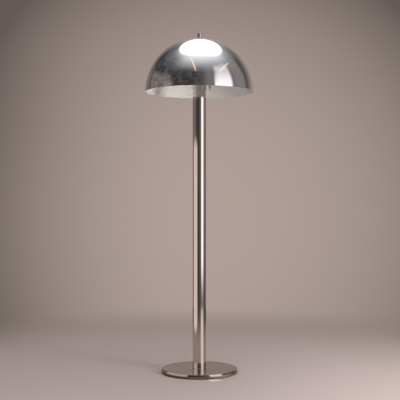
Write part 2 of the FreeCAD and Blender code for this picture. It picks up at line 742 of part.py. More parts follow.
def build_switch_case():
    """Moulded case, open at the front, with its cover, two screws, nozzle and nozzle nut."""
    case = new_body("switch_case")
    block = sketch_on(case, "XY_Plane")
    draw_box(block, case_left, -dim.case_back, case_right, dim.case_back)
    pad(case, "block", block, dim.case_height)
    inside = sketch_on(case, "XZ_Plane", height=dim.case_back)
    low, high = dim.case_floor, dim.case_height - dim.case_wall
    draw_box(inside, case_left + dim.case_wall, low, case_right - dim.case_wall, high)
    pocket(case, "inside", inside, case_depth - dim.case_wall)
    nozzle_hole = sketch_on(case, "XY_Plane")
    draw_circle(nozzle_hole, dim.chain_offset, 0, dim.nozzle_diameter / 2 + dim.hole_gap)
    pocket(case, "nozzle_hole", nozzle_hole, dim.case_floor * 1.5, Reversed=True)
    pin_hole = sketch_on(case, "XZ_Plane", height=-dim.case_back)
    draw_circle(pin_hole, pivot_x, dim.pivot_height - dim.sheet_wall, dim.pin_diameter / 2 + dim.slip)
    pocket(case, "pin_hole", pin_hole, dim.case_wall * 2, Reversed=True)
    place(case, z=case_bottom)

    cover = new_body("switch_cover")
    plate = sketch_on(cover, "XY_Plane")
    draw_box(plate, case_left, 0, case_right, dim.case_height)
    pad(cover, "plate", plate, dim.case_wall)
    stand_on_edge(cover, 0, -dim.case_back, case_bottom)

    # The rivets' heads sit on the cover, beside the case's side walls.
    rivets = new_body("cover_rivets")
    heads = sketch_on(rivets, "XY_Plane")
    rivet_level = dim.case_height - dim.rivet_drop
    draw_circle(heads, case_left + dim.rivet_inset, rivet_level, dim.rivet_diameter / 2)
    head = pad(rivets, "head", heads, dim.rivet_height)
    across = (heads, ["H_Axis"])
    span = case_right - case_left - dim.rivet_inset * 2
    pattern(rivets, "LinearPattern", "pair", head, Direction=across, Length=span, Occurrences=2)
    stand_on_edge(rivets, 0, -dim.case_back - dim.case_wall, case_bottom)

    bottom = dim.nozzle_drop
    top = bottom + dim.sheet_wall + dim.case_floor
    nozzle = turned(
        "switch_nozzle",
        [
            (dim.nozzle_mouth / 2, dim.nozzle_shoulder / 2),
            (dim.nozzle_mouth / 2 + dim.nozzle_shoulder / 2, 0),
            (dim.nozzle_diameter / 2, 0),
            (dim.nozzle_diameter / 2, top),
            (dim.nozzle_flange / 2, top),
            (dim.nozzle_flange / 2, top + dim.flange_thickness),
            (dim.nozzle_bore / 2, top + dim.flange_thickness),
            (dim.nozzle_bore / 2, dim.nozzle_shoulder),
            (dim.nozzle_mouth / 2, dim.nozzle_shoulder),
        ],
    )
    place(nozzle, x=dim.chain_offset, z=drum_bottom - dim.nozzle_drop)
    nozzle_nut = nut(
        "nozzle_nut", dim.nozzle_nut_flats, dim.nozzle_nut_thickness, dim.nozzle_diameter / 2 + dim.slip
    )
    place(nozzle_nut, x=dim.chain_offset, z=drum_bottom, roll=180)


def build_ratchet():
    """The pin across the case, the toothed wheel that carries the contact, and the pull lever."""
    pin = new_body("ratchet_pin")
    round_bar = sketch_on(pin, "XY_Plane")
    draw_circle(round_bar, 0, 0, dim.pin_diameter / 2)
    pad(pin, "bar", round_bar, case_depth)
    stand_on_edge(pin, pivot_x, dim.case_back, pivot_z)

    wheel = new_body("ratchet_wheel")
    disc = sketch_on(wheel, "XY_Plane")
    draw_circle(disc, 0, 0, dim.wheel_root)
    pad(wheel, "disc", disc, dim.wheel_thickness)
    tooth_sketch = sketch_on(wheel, "XY_Plane")
    # The tooth's long back ends just inside the root circle, where the next tooth's face starts.
    sunk = dim.wheel_root - dim.tooth_sink
    heel = dim.wheel_root - dim.slip
    along, across = cosine(tooth_step), sine(tooth_step)
    back = [(heel * along, heel * across), (sunk * along, sunk * across)]
    draw_outline(tooth_sketch, [(sunk, 0), (dim.wheel_radius, 0), *back])
    tooth = pad(wheel, "tooth", tooth_sketch, dim.wheel_thickness)
    spindle = (disc, ["N_Axis"])
    pattern(wheel, "PolarPattern", "teeth", tooth, Axis=spindle, Angle=360, Occurrences=dim.wheel_teeth)
    bore = sketch_on(wheel, "XY_Plane")
    draw_circle(bore, 0, 0, dim.pin_diameter / 2 + dim.slip)
    pocket_through(wheel, "bore", bore)
    stand_on_edge(wheel, pivot_x, wheel_back, pivot_z, pitch=-swing / 2)

    # The lever is drawn level, and rests half its swing above that. Its sleeve keeps it off the
    # cover, and its pawl stands beside the wheel in the gap behind a tooth.
    lever = new_body("pull_lever")
    arm = sketch_on(lever, "XY_Plane")
    draw_box(arm, 0, -dim.lever_width / 2, lever_length, dim.lever_width / 2)
    pad(lever, "arm", arm, dim.lever_thickness)
    discs = (("pin_end", 0, dim.lever_disc / 2), ("crank_end", lever_length, crank_disc))
    for name, x, radius in discs:
        disc = sketch_on(lever, "XY_Plane")
        draw_circle(disc, x, 0, radius)
        pad(lever, name, disc, dim.lever_thickness)
    sleeve = sketch_on(lever, "XY_Plane")
    draw_circle(sleeve, 0, 0, dim.lever_sleeve / 2)
    pad(lever, "sleeve", sleeve, lever_back + dim.case_back - dim.sleeve_gap)
    crank = sketch_on(lever, "XY_Plane")
    draw_circle(crank, lever_length, 0, dim.crank_diameter / 2)
    pad(lever, "crank", crank, dim.lever_thickness + dim.lever_offset * 2)
    pawl = sketch_on(lever, "XY_Plane")
    pawl_start = dim.wheel_radius - dim.hole_gap
    pawl_low = -dim.pawl_drop - dim.pawl_width / 2
    pawl_end = pawl_start + dim.pawl_length
    draw_box(pawl, pawl_start, pawl_low, pawl_end, pawl_low + dim.pawl_width)
    pad(lever, "pawl", pawl, dim.pawl_depth, Reversed=True)
    bore = sketch_on(lever, "XY_Plane")
    draw_circle(bore, 0, 0, dim.pin_diameter / 2 + dim.slip)
    pocket_through(lever, "bore", bore)
    stand_on_edge(lever, pivot_x, lever_back, pivot_z, pitch=-swing / 2)


def build_plunger():
    """The plunger with its eye and collar, the spring round it, the bead chain and the knob."""
    eye_z = pivot_z + dim.pull_travel / 2
    nozzle_bottom = drum_bottom - dim.nozzle_drop
    shoulder_level = nozzle_bottom + dim.nozzle_shoulder
    collar_bottom = case_bottom + dim.case_floor
    rod_end = nozzle_bottom + dim.nozzle_shoulder / 2

    plunger = new_body("pull_plunger")
    rod = sketch_on(plunger, "XY_Plane")
    draw_circle(rod, 0, 0, dim.plunger_diameter / 2)
    pad(plunger, "rod", rod, eye_z - dim.eye_rise + dim.eye_thickness / 2 - rod_end)
    collar = sketch_on(plunger, "XY_Plane", height=collar_bottom - rod_end)
    draw_circle(collar, 0, 0, dim.collar_diameter / 2)
    pad(plunger, "collar", collar, dim.flange_thickness)
    eye = sketch_on(plunger, "XZ_Plane")
    middle = eye_z - rod_end
    half_slot = dim.crank_diameter / 2 + dim.eye_slack
    drift = lever_length - lever_length * cosine(swing / 2)
    slot_left = -drift - half_slot
    eye_left = slot_left - dim.eye_rim
    eye_right = half_slot + dim.eye_rim
    draw_box(eye, eye_left, middle - dim.eye_rise, eye_right, middle + dim.eye_rise)
    pad(plunger, "eye", eye, dim.eye_thickness, Midplane=True)
    slot = sketch_on(plunger, "XZ_Plane")
    draw_box(slot, slot_left, middle - half_slot, half_slot, middle + half_slot)
    pocket_through(plunger, "slot", slot)
    place(plunger, x=dim.chain_offset, z=rod_end)

    # The spring stands on the nozzle's shoulder and holds the collar up.
    half_wire = dim.spring_wire / 2
    spring = new_body("return_spring")
    section = sketch_on(spring, "XZ_Plane")
    coil_radius = dim.collar_diameter / 2 - half_wire - dim.slip
    draw_circle(section, coil_radius, half_wire + dim.slip, half_wire)
    coil_height = collar_bottom - shoulder_level - dim.spring_wire - dim.slip * 2
    feature(
        spring,
        "AdditiveHelix",
        "coils",
        section,
        True,
        ReferenceAxis=(section, ["V_Axis"]),
        Mode="height-turns-angle",
        Height=coil_height,
        Turns=dim.spring_coils,
    )
    place(spring, x=dim.chain_offset, z=shoulder_level)

    # Beads on their wires, from the knob up to the plunger's end.
    half_bead = dim.bead_diameter / 2
    half_bead_wire = dim.bead_wire / 2
    waist = root(half_bead * half_bead - half_bead_wire * half_bead_wire)
    wire_piece = (dim.bead_pitch - waist * 2) / 2
    chain = turned(
        "bead_chain",
        [
            (0, 0),
            (half_bead_wire, 0),
            (half_bead_wire, wire_piece),
            (half_bead_wire, wire_piece + waist * 2, half_bead, LEFT),
            (half_bead_wire, dim.bead_pitch),
            (0, dim.bead_pitch),
        ],
    )
    bead = chain.Tip
    axis = (bead.Profile[0], ["V_Axis"])
    run = dim.bead_pitch * (dim.bead_count - 1)
    pattern(
        chain, "LinearPattern", "beads", bead, Direction=axis, Length=run, Occurrences=dim.bead_count
    )
    chain_bottom = rod_end - dim.bead_pitch * dim.bead_count
    place(chain, x=dim.chain_offset, z=chain_bottom)

    tip = dim.knob_tip / 2
    belly = dim.knob_diameter / 2
    neck = dim.knob_neck
    knob = turned(
        "pull_knob",
        [
            (0, 0),
            (tip, tip, tip, LEFT),
            (tip, neck),
            (belly, neck + (belly - tip), belly - tip, RIGHT),
            (belly, dim.knob_shoulder),
            (dim.knob_collar / 2, dim.knob_height, dim.knob_taper, LEFT),
            (0, dim.knob_height),
        ],
    )
    place(knob, x=dim.chain_offset, z=chain_bottom - dim.knob_height)


def build_contacts():
    """Two brass strips inside the case's left wall, each with a terminal screw outside it."""
    spacing = dim.strip_length + dim.strip_gap
    strip = new_body("switch_contacts")
    plate = sketch_on(strip, "YZ_Plane", height=case_left + dim.case_wall)
    strip_low = dim.strip_gap / 2
    strip_right = dim.strip_offset + dim.strip_width
    draw_box(plate, dim.strip_offset, strip_low, strip_right, strip_low + dim.strip_length)
    first_strip = pad(strip, "strip", plate, dim.strip_thickness)

    screws = new_body("switch_terminals")
    head = sketch_on(screws, "YZ_Plane", height=case_left - dim.terminal_height)
    middle = (dim.strip_offset + dim.strip_width / 2, strip_low + dim.strip_length / 2)
    draw_circle(head, *middle, dim.terminal_diameter / 2)
    first_screw = pad(screws, "head", head, dim.terminal_height)

    for body, sketch, first in ((strip, plate, first_strip), (screws, head, first_screw)):
        up = (sketch, ["V_Axis"])
        pattern(body, "LinearPattern", "pair", first, Direction=up, Length=spacing, Occurrences=2)
        place(body, z=pivot_z - spacing)


# ---------------------------------------------------------------- lampholders and bulbs

hub_radius = dim.socket_hub / 2
hub_face = dim.drum_diameter / 2 + dim.nest_gap
cap_inside = dim.socket_cap_diameter / 2 - dim.socket_sheet
shell_outside = cap_inside - dim.nest_gap
liner_outside = shell_outside - dim.socket_sheet - dim.nest_gap
liner_inside = liner_outside - dim.socket_sheet
core_start = dim.shell_start + dim.core_margin
screw_start = core_start + dim.core_length
tip_level = screw_start + dim.contact_rise
glass_level = tip_level + dim.bulb_base_length


def bulb_outline(wall):
    """Half outline of the glass from its open neck to its round end, wall inside the outer face.
    The neck runs into the round end by an arc that touches both."""
    neck, bend, ball = dim.bulb_neck_radius - wall, dim.bulb_flare + wall, dim.bulb_radius - wall
    centre = dim.bulb_glass_length - dim.bulb_radius
    reach = bend + ball
    drop = root(reach * reach - (neck + bend) * (neck + bend))
    touch_radius = ball * (neck + bend) / reach
    touch_height = centre - ball * drop / reach
    return [
        (neck, centre - drop),
        (touch_radius, touch_height, bend, RIGHT),
        (0, centre + ball, ball, LEFT),
    ]


def lay_outwards(body, reach, azimuth):
    """Lays a piece that is built along +Z on a lampholder's axis, with its start at the reach."""
    place(
        body,
        x=reach * cosine(azimuth),
        y=reach * sine(azimuth),
        z=drum_bottom + dim.socket_height,
        yaw=azimuth,
        pitch=90,
    )


def build_shells(side):
    """The lampholder's metal cap and shell and the fibre liner; gives each with its start."""
    cup = dim.socket_cap_diameter / 2
    nipple_hole = dim.nipple_diameter / 2 + dim.slip
    hub_end = dim.socket_hub_length
    cup_start = hub_end + dim.socket_shoulder_length
    floor = hub_end + dim.socket_sheet
    cap = turned(
        f"socket_{side}_cap",
        [
            (nipple_hole, 0),
            (hub_radius, 0),
            (hub_radius, hub_end),
            (cup, cup_start, dim.socket_shoulder, LEFT),
            (cup, dim.socket_cap_length),
            (cap_inside, dim.socket_cap_length),
            (cap_inside, cup_start),
            (hub_radius, floor, dim.socket_shoulder - dim.socket_sheet, RIGHT),
            (nipple_hole, floor),
        ],
    )

    # The shell has one rolled bead near its mouth.
    shell_inside = shell_outside - dim.socket_sheet
    bead_start = dim.socket_shell_length - dim.shell_bead_inset
    shell = turned(
        f"socket_{side}_shell",
        [
            (shell_inside, 0),
            (shell_outside, 0),
            (shell_outside, bead_start),
            (shell_outside, bead_start + dim.shell_bead_length, dim.shell_bead_round, LEFT),
            (shell_outside, dim.socket_shell_length),
            (shell_inside, dim.socket_shell_length),
        ],
    )
    liner_length = dim.socket_shell_length - dim.liner_margin * 2
    liner = ring(f"socket_{side}_liner", liner_inside, liner_outside, liner_length)
    return [(cap, 0), (shell, dim.shell_start), (liner, dim.shell_start + dim.liner_margin)]


def build_core(side):
    """The porcelain core, its two terminal screws, the brass screw shell and centre contact."""
    half_recess = dim.side_recess_width / 2
    core = ring(
        f"socket_{side}_core", dim.core_bore / 2, liner_inside - dim.nest_gap, dim.core_length
    )
    recess = sketch_on(core, "XY_Plane", height=dim.core_length)
    recess_end = liner_inside + dim.nest_gap
    draw_box(recess, dim.side_recess_start, -half_recess, recess_end, half_recess)
    cut = pocket(core, "terminal_recess", recess, dim.side_recess_depth)
    axis = (recess, ["N_Axis"])
    pattern(core, "PolarPattern", "recesses", cut, Axis=axis, Angle=360, Occurrences=2)

    terminal = new_body(f"socket_{side}_terminals")
    head = sketch_on(terminal, "YZ_Plane", height=dim.side_recess_start)
    draw_circle(head, 0, dim.terminal_screw_level, dim.terminal_screw / 2)
    screw = pad(terminal, "screw", head, dim.terminal_screw_rise)
    axis = (sketch_on(terminal, "XY_Plane"), ["N_Axis"])
    pattern(terminal, "PolarPattern", "pair", screw, Axis=axis, Angle=360, Occurrences=2)

    hole = dim.screw_shell_hole / 2
    inside, outside = dim.screw_shell_radius, dim.screw_shell_radius + dim.brass_sheet
    screw_shell = turned(
        f"socket_{side}_screw_shell",
        [
            (hole, 0),
            (outside, 0),
            (outside, dim.screw_shell_length),
            (inside, dim.screw_shell_length),
            (inside, dim.brass_sheet),
            (hole, dim.brass_sheet),
        ],
    )

    contact = new_body(f"socket_{side}_contact")
    tongue = sketch_on(contact, "XZ_Plane")
    sheet = dim.contact_sheet
    foot_end, foot_start = dim.contact_foot, dim.contact_foot / 2
    draw_outline(
        tongue,
        [
            (foot_start - sheet, 0),
            (foot_end, 0),
            (foot_end, sheet),
            (foot_start, sheet),
            (sheet, dim.contact_rise),
            (-dim.contact_lean, dim.contact_rise),
            (-dim.contact_lean, dim.contact_rise - sheet),
            (0, dim.contact_rise - sheet),
        ],
    )
    pad(contact, "tongue", tongue, dim.contact_width, Midplane=True)
    return [
        (core, core_start),
        (terminal, core_start),
        (screw_shell, screw_start),
        (contact, screw_start),
    ]


def build_bulb(side):
    """The bulb's screw base, closed at the end by its tip, and the glass that it grips."""
    tip, closed = dim.bulb_tip / 2, dim.bulb_tip_thickness
    outside = dim.bulb_base_radius
    inside = outside - dim.brass_sheet
    base = turned(
        f"bulb_{side}_base",
        [
            (0, 0),
            (tip, 0),
            (tip + dim.bulb_tip_bevel, closed / 2),
            (outside, closed + dim.bulb_insulator),
            (outside, dim.bulb_base_length),
            (inside, dim.bulb_base_length),
            (inside, closed + dim.bulb_base_floor),
            (tip, closed),
            (0, closed),
        ],
    )

    outer = bulb_outline(as_size(0))
    inner = bulb_outline(dim.glass_wall)
    corners = [(dim.bulb_neck_radius, -dim.bulb_grip), *outer]
    corners.append((0, inner[2][1]))
    corners.append((*inner[1][:2], inner[2][2], RIGHT))
    corners.append((*inner[0][:2], inner[1][2], LEFT))
    corners.append((dim.bulb_neck_radius - dim.glass_wall, -dim.bulb_grip))
    glass = turned(f"bulb_{side}_glass", corners)
    return [(base, tip_level), (glass, glass_level)]


def build_lampholder(side, azimuth):
    """One lampholder with its bulb, and the nipple and nut that hold it to the drum's wall."""
    for body, start in build_shells(side) + build_core(side) + build_bulb(side):
        lay_outwards(body, hub_face + start, azimuth)

    nipple_length = dim.nipple_inside + hub_radius + dim.nipple_end
    nipple = ring(f"socket_{side}_nipple", dim.nipple_bore / 2, dim.nipple_diameter / 2, nipple_length)
    lay_outwards(nipple, hub_face - dim.nipple_inside, azimuth)

    grip = dim.nipple_nut_thickness
    bore = dim.nipple_diameter / 2 + dim.slip
    holder = nut(f"nipple_nut_{side}", dim.nipple_nut_flats, grip, bore)
    wall = dim.drum_diameter / 2 - dim.sheet_wall
    lay_outwards(holder, wall - dim.nipple_nut_gap - grip, azimuth)


# ---------------------------------------------------------------- riser and shade


def build_riser():
    """Rod with its threaded stud, the crown seat on its shoulder and the gasket on the seat."""
    stud_radius = dim.stud_diameter / 2
    stack = dim.seat_height + dim.gasket_thickness + dim.shade_wall + dim.crown_washer_thickness
    stud_top = dim.riser_length + stack + dim.stud_grip
    rod = turned(
        "riser_rod",
        [
            (0, 0),
            (dim.riser_diameter / 2, 0),
            (dim.riser_diameter / 2, dim.riser_length),
            (stud_radius, dim.riser_length),
            (stud_radius, stud_top),
            (0, stud_top),
        ],
    )
    place(rod, z=riser_bottom)

    seat = turned(
        "crown_seat",
        [
            (stud_radius + dim.slip, 0),
            (dim.seat_hub / 2, 0),
            (dim.seat_hub / 2, dim.seat_hub_height),
            (dim.seat_diameter / 2, dim.seat_height - dim.seat_edge, dim.seat_diameter / 2, RIGHT),
            (dim.seat_diameter / 2, dim.seat_height),
            (stud_radius + dim.slip, dim.seat_height),
        ],
    )
    place(seat, z=shoulder)
    gasket_hole = stud_radius + dim.hole_gap
    gasket = ring("crown_gasket", gasket_hole, dim.seat_diameter / 2, dim.gasket_thickness)
    place(gasket, z=seat_top)


def build_shade():
    """Spun half sphere with a small flat crown, its washer and the finial."""
    inner_radius = dim.shade_radius - dim.shade_wall
    inner_rise = crown_rise - dim.shade_wall
    inner_flat = root(inner_radius * inner_radius - inner_rise * inner_rise)
    hole = dim.crown_hole / 2
    shade = turned(
        "dome_shade",
        [
            (inner_radius, 0, inner_radius, RIGHT),
            (dim.shade_radius, 0),
            (dim.crown_flat, crown_rise, dim.shade_radius, LEFT),
            (hole, crown_rise),
            (hole, inner_rise),
            (inner_flat, inner_rise),
        ],
    )
    place(shade, z=rim_level)

    rim, thickness = dim.crown_washer_diameter / 2, dim.crown_washer_thickness
    washer = ring("crown_washer", hole - dim.nest_gap, rim, thickness)
    round_edges(washer, "Fillet", dim.washer_round, [(rim, thickness)])
    place(washer, z=crown_top)

    bore = dim.stud_diameter / 2 + dim.slip
    depth = dim.stud_grip + dim.finial_end_gap
    finial = turned(
        "finial",
        [
            (bore, 0),
            (dim.finial_diameter / 2, 0),
            (dim.finial_diameter / 2, dim.finial_height),
            (0, dim.finial_height),
            (0, depth),
            (bore, depth),
        ],
    )
    rims = [(dim.finial_diameter / 2, 0), (dim.finial_diameter / 2, dim.finial_height)]
    round_edges(finial, "Chamfer", dim.finial_bevel, rims)
    place(finial, z=finial_bottom)


# ---------------------------------------------------------------- build, check, write

build_base()
build_column()
build_drum()
build_switch_case()
build_ratchet()
build_plunger()
build_contacts()
for side, azimuth in (("a", dim.socket_azimuth), ("b", dim.socket_azimuth + 180)):
    build_lampholder(side, azimuth)
build_riser()
build_shade()
doc.recompute()

for item in doc.Objects:
    if "Invalid" in item.State or "Error" in item.State:
        raise RuntimeError(f"{item.Name} did not build: {item.State}")
for body in pieces:
    if body.Shape.isNull() or not body.Shape.isValid() or not body.Shape.Solids:
        raise RuntimeError(f"{body.Label} has no valid solid")

os.makedirs("parts", exist_ok=True)
for body in pieces:
    body.Shape.exportStep(f"parts/{body.Label}.step")
    box = body.Shape.BoundBox
    print(
        f"{body.Label:24s} {len(body.Shape.Solids)} solid  {body.Shape.Volume:12.1f} mm3  "
        f"x {box.XMin:8.2f} {box.XMax:8.2f}  y {box.YMin:8.2f} {box.YMax:8.2f}  "
        f"z {box.ZMin:8.2f} {box.ZMax:8.2f}"
    )
top = finial_bottom + dim.finial_height
print(f"{len(pieces)} pieces; rim at {rim_level.value:.2f}, top at {top.value:.2f}")
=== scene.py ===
import json
import math

import bpy
import numpy as np
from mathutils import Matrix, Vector


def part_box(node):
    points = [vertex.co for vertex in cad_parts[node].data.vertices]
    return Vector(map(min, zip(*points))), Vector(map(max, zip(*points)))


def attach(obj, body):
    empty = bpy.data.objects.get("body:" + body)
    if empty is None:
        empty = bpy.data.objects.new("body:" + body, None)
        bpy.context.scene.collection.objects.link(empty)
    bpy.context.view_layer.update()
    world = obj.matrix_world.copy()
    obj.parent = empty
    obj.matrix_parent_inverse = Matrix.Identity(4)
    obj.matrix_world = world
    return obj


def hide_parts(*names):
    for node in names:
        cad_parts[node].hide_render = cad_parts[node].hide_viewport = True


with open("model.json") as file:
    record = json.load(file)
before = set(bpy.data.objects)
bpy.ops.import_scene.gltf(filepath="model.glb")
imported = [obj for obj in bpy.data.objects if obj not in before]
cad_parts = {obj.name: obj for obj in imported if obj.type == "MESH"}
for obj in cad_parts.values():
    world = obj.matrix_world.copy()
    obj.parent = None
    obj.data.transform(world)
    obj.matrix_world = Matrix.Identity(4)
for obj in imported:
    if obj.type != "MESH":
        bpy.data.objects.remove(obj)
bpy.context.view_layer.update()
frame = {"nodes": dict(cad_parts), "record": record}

# Mushroom floor lamp: a spun half-sphere shade on a thick polished column and a round plate base.
# Metres, +Z up, the column's axis at the origin, the photographed front at -Y. Turned pieces are
# surfaces worked out from an outline; small and inner pieces keep their CAD shape and get a finish.

MM = 0.001


# ---------------- heights and radii from the frame


def low(node):
    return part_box(node)[0].z


def high(node):
    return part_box(node)[1].z


def half_width(node):
    """Half of a round piece's width; its widest corner touches the true circle."""
    lowest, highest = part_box(node)
    return max(highest.x - lowest.x, highest.y - lowest.y) / 2


def span(node):
    """Lower end, upper end and radius of a piece turned about an upright axis."""
    return low(node), high(node), half_width(node)


RIM_HEIGHT, CROWN_HEIGHT, SHADE_RADIUS = span("dome_shade")
SHADE_WALL = 1.5 * MM
CROWN_FLAT = 13 * MM
CROWN_HOLE = 3.3 * MM
TUBE_BOTTOM, TUBE_TOP, TUBE_RADIUS = span("column_tube")
TUBE_WALL = 1.6 * MM
TUBE_INSIDE = TUBE_RADIUS - TUBE_WALL
BASE_BOTTOM, BASE_TOP, BASE_RADIUS = span("base_plate")
DRUM_FLOOR, DRUM_TOP, DRUM_RADIUS = span("drum_pan")
DRUM_SHEET = 1.2 * MM
ROD_HOLE = 5.3 * MM
CHAIN_X = (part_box("bead_chain")[0].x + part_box("bead_chain")[1].x) / 2
LAMPHOLDER_HEIGHT = DRUM_FLOOR + 14 * MM
LAMPHOLDER_REACH = DRUM_RADIUS + 0.1 * MM
LAMPHOLDERS = {"a": math.radians(45), "b": math.radians(225)}


# ---------------- outlines


def arc(centre, radius, start, end, steps):
    """Points (radius, height) on a circle in the outline's plane, from one angle to another, in
    degrees from the outline's outward direction towards up."""
    angle = np.radians(np.linspace(start, end, steps + 1))
    return np.stack([centre[0] + radius * np.cos(angle), centre[1] + radius * np.sin(angle)], 1)


def upright(radius, heights):
    """Points straight up or down a wall of one radius."""
    return np.stack([np.full(len(heights), radius), heights], 1)


def rounded(corners, closed=True, steps=4):
    """Outline through corners (radius, height, round), where a sharp corner leaves out the round. A
    round corner becomes the arc that touches both of its sides; a further point stands one step
    outside each end of the arc, so that flat stretches shade flat and only the arc shades round."""
    corner = np.array([(c[0], c[1]) for c in corners], float)
    size = [c[2] if len(c) > 2 else 0.0 for c in corners]
    points = []
    for number, here in enumerate(corner):
        if size[number] == 0 or (not closed and number in (0, len(corner) - 1)):
            points.append(here[None])
            continue
        back = corner[number - 1] - here
        ahead = corner[(number + 1) % len(corner)] - here
        back /= np.linalg.norm(back)
        ahead /= np.linalg.norm(ahead)
        half = math.acos(np.clip(back @ ahead, -1, 1)) / 2
        middle = (back + ahead) / np.linalg.norm(back + ahead)
        centre = here + middle * size[number] / math.sin(half)
        touch = size[number] / math.tan(half)
        first, last = here + back * touch, here + ahead * touch
        start = math.atan2(*(first - centre)[::-1])
        turn = math.atan2(*(last - centre)[::-1]) - start
        turn = (turn + math.pi) % (2 * math.pi) - math.pi
        bend = arc(centre, size[number], math.degrees(start), math.degrees(start + turn), steps)
        hold = size[number] * abs(turn) / steps
        points.append(np.vstack([first + back * hold, bend, last + ahead * hold]))
    return np.vstack(points)


# ---------------- surfaces


def skin(name, grid, ring_outline=True, ring_around=True, crease=35):
    """One mesh over a grid of points (along, around, xyz). Rows join to the next row and columns to
    the next column, round to the first again where they are rings. A first or last row that is all
    one point becomes a single closing point. Edges sharper than the crease angle stay crisp."""
    rows, columns = grid.shape[:2]
    number = np.arange(rows * columns).reshape(rows, columns)
    ends = () if ring_outline else (0, rows - 1)
    for row in ends:
        if np.allclose(grid[row], grid[row, 0], atol=1e-7):
            number[row] = number[row, 0]
    if ring_outline:
        number = np.vstack([number, number[:1]])
    if ring_around:
        number = np.hstack([number, number[:, :1]])
    here, right = number[:-1, :-1].ravel(), number[:-1, 1:].ravel()
    above, above_right = number[1:, :-1].ravel(), number[1:, 1:].ravel()
    quads = np.stack([here, right, above_right, above], 1)
    full = (here != right) & (above != above_right)
    pole_below = (here == right) & (above != above_right)
    pole_above = (here != right) & (above == above_right)
    faces = quads[full].tolist()
    faces += quads[pole_below][:, [0, 2, 3]].tolist()
    faces += quads[pole_above][:, [0, 1, 2]].tolist()
    used, index = np.unique(np.concatenate([np.ravel(f) for f in faces]), return_inverse=True)
    counts = np.cumsum([0] + [len(f) for f in faces])
    faces = [index[a:b].tolist() for a, b in zip(counts[:-1], counts[1:])]
    mesh = bpy.data.meshes.new(name)
    mesh.from_pydata(grid.reshape(-1, 3)[used], [], faces)
    mesh.polygons.foreach_set("use_smooth", np.ones(len(faces), bool))
    mesh.set_sharp_from_angle(angle=math.radians(crease))
    piece = bpy.data.objects.new(name, mesh)
    bpy.context.scene.collection.objects.link(piece)
    return piece


def laid(points, centre, direction):
    """Turns points that stand along +Z to stand along a direction, and moves them to a centre."""
    ahead = np.array(direction, float)
    ahead /= np.linalg.norm(ahead)
    side = np.array([1.0, 0, 0]) if abs(ahead[2]) > 0.9 else np.array([0, 0, 1.0])
    side = side - ahead * (side @ ahead)
    side /= np.linalg.norm(side)
    return points @ np.array([side, np.cross(ahead, side), ahead]) + np.array(centre, float)


def turned_grid(outline, sides):
    """Points of an outline (radius, height) swept once round the Z axis."""
    angle = np.linspace(0, 2 * math.pi, sides, endpoint=False)
    radius, height = outline[:, :1], outline[:, 1:]
    return np.stack([radius * np.cos(angle), radius * np.sin(angle), height + 0 * angle], 2)


def turned(name, outline, sides=96, ring_outline=True, centre=(0, 0, 0), direction=(0, 0, 1)):
    """A lathe-turned piece: its outline runs up the outside and down the inside, counter-clockwise
    with the radius to the right and the height up, so that the faces point outwards."""
    grid = laid(turned_grid(np.asarray(outline, float), sides), centre, direction)
    return skin(name, grid, ring_outline)


def threaded(outline, first, last, pitch, depth, sides):
    """Turned points with a screw thread between two heights: the radius shrinks by the depth times a
    wave of the height over the pitch less the share of a turn, and fades in over one pitch."""
    grid = turned_grid(outline, sides)
    turn = np.linspace(0, 1, sides, endpoint=False)
    height = grid[:, :, 2]
    wave = 0.5 + 0.5 * np.cos(2 * math.pi * (height / pitch - turn))
    fade = np.clip((height - first) / pitch, 0, 1) * np.clip((last - height) / pitch, 0, 1)
    radius = outline[:, :1]
    shrink = 1 - depth * wave * fade / np.maximum(radius, depth)
    grid[:, :, :2] *= shrink[:, :, None]
    return grid


def hexagon_nut(name, across_flats, bottom, top, bore, centre, sides=96):
    """A chamfered nut: each ring's radius is the smaller of a circle and the hexagon, whose radius is
    half the width across flats over the cosine of the angle from the nearest flat's middle."""
    chamfer = across_flats / 2 * 0.97
    slope = math.tan(math.radians(30))
    angle = np.linspace(0, 2 * math.pi, sides, endpoint=False)
    even = 0 * angle
    from_flat = np.mod(angle + math.pi / 6, math.pi / 3) - math.pi / 6
    hexagon = across_flats / 2 / np.cos(from_flat)
    drop = np.maximum(hexagon - chamfer, 0) * slope
    rings = [
        (bore + even, bottom + even),
        (chamfer + even, bottom + even),
        (hexagon, bottom + drop),
        (hexagon, top - drop),
        (chamfer + even, top + even),
        (bore + even, top + even),
    ]
    grid = np.array([np.stack([r * np.cos(angle), r * np.sin(angle), z], 1) for r, z in rings])
    return skin(name, laid(grid, centre, (0, 0, 1)), crease=20)


def fitted(piece, node, finish=None, body="root", slot="nickel"):
    """Gives a finished piece its finish, the given one or else its record slot's own, hangs it on
    the body it rides on and hides the node it stands for."""
    piece.data.materials.append(FINISHES[finish or slot])
    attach(piece, body)
    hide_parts(node)


# ---------------- shader maths


class Wire:
    """One output of a material's nodes. Sums and products with it add their Math nodes."""

    def __init__(self, nodes, socket):
        self.nodes = nodes
        self.socket = socket

    def math(self, operation, *others):
        sockets = dict(enumerate((self, *others)))
        return self.nodes.add("ShaderNodeMath", {"operation": operation}, sockets)

    def __add__(self, other):
        return self.math("ADD", other)

    def __sub__(self, other):
        return self.math("SUBTRACT", other)

    def __rsub__(self, other):
        return self.nodes.add("ShaderNodeMath", {"operation": "SUBTRACT"}, {0: other, 1: self})

    def __mul__(self, other):
        return self.math("MULTIPLY", other)

    __radd__ = __add__
    __rmul__ = __mul__

    def ramp(self, start, end, kind="SMOOTHSTEP"):
        """0 up to the start, 1 from the end on, and smooth or LINEAR between."""
        sockets = {0: self, 1: start, 2: end, 3: 0.0, 4: 1.0}
        return self.nodes.add("ShaderNodeMapRange", {"interpolation_type": kind}, sockets)

    def window(self, start, full, fade, end):
        """1 between full and fade, 0 before the start and after the end, smooth between."""
        return self.ramp(start, full) * (1 - self.ramp(fade, end))

    def squared(self):
        return self * self


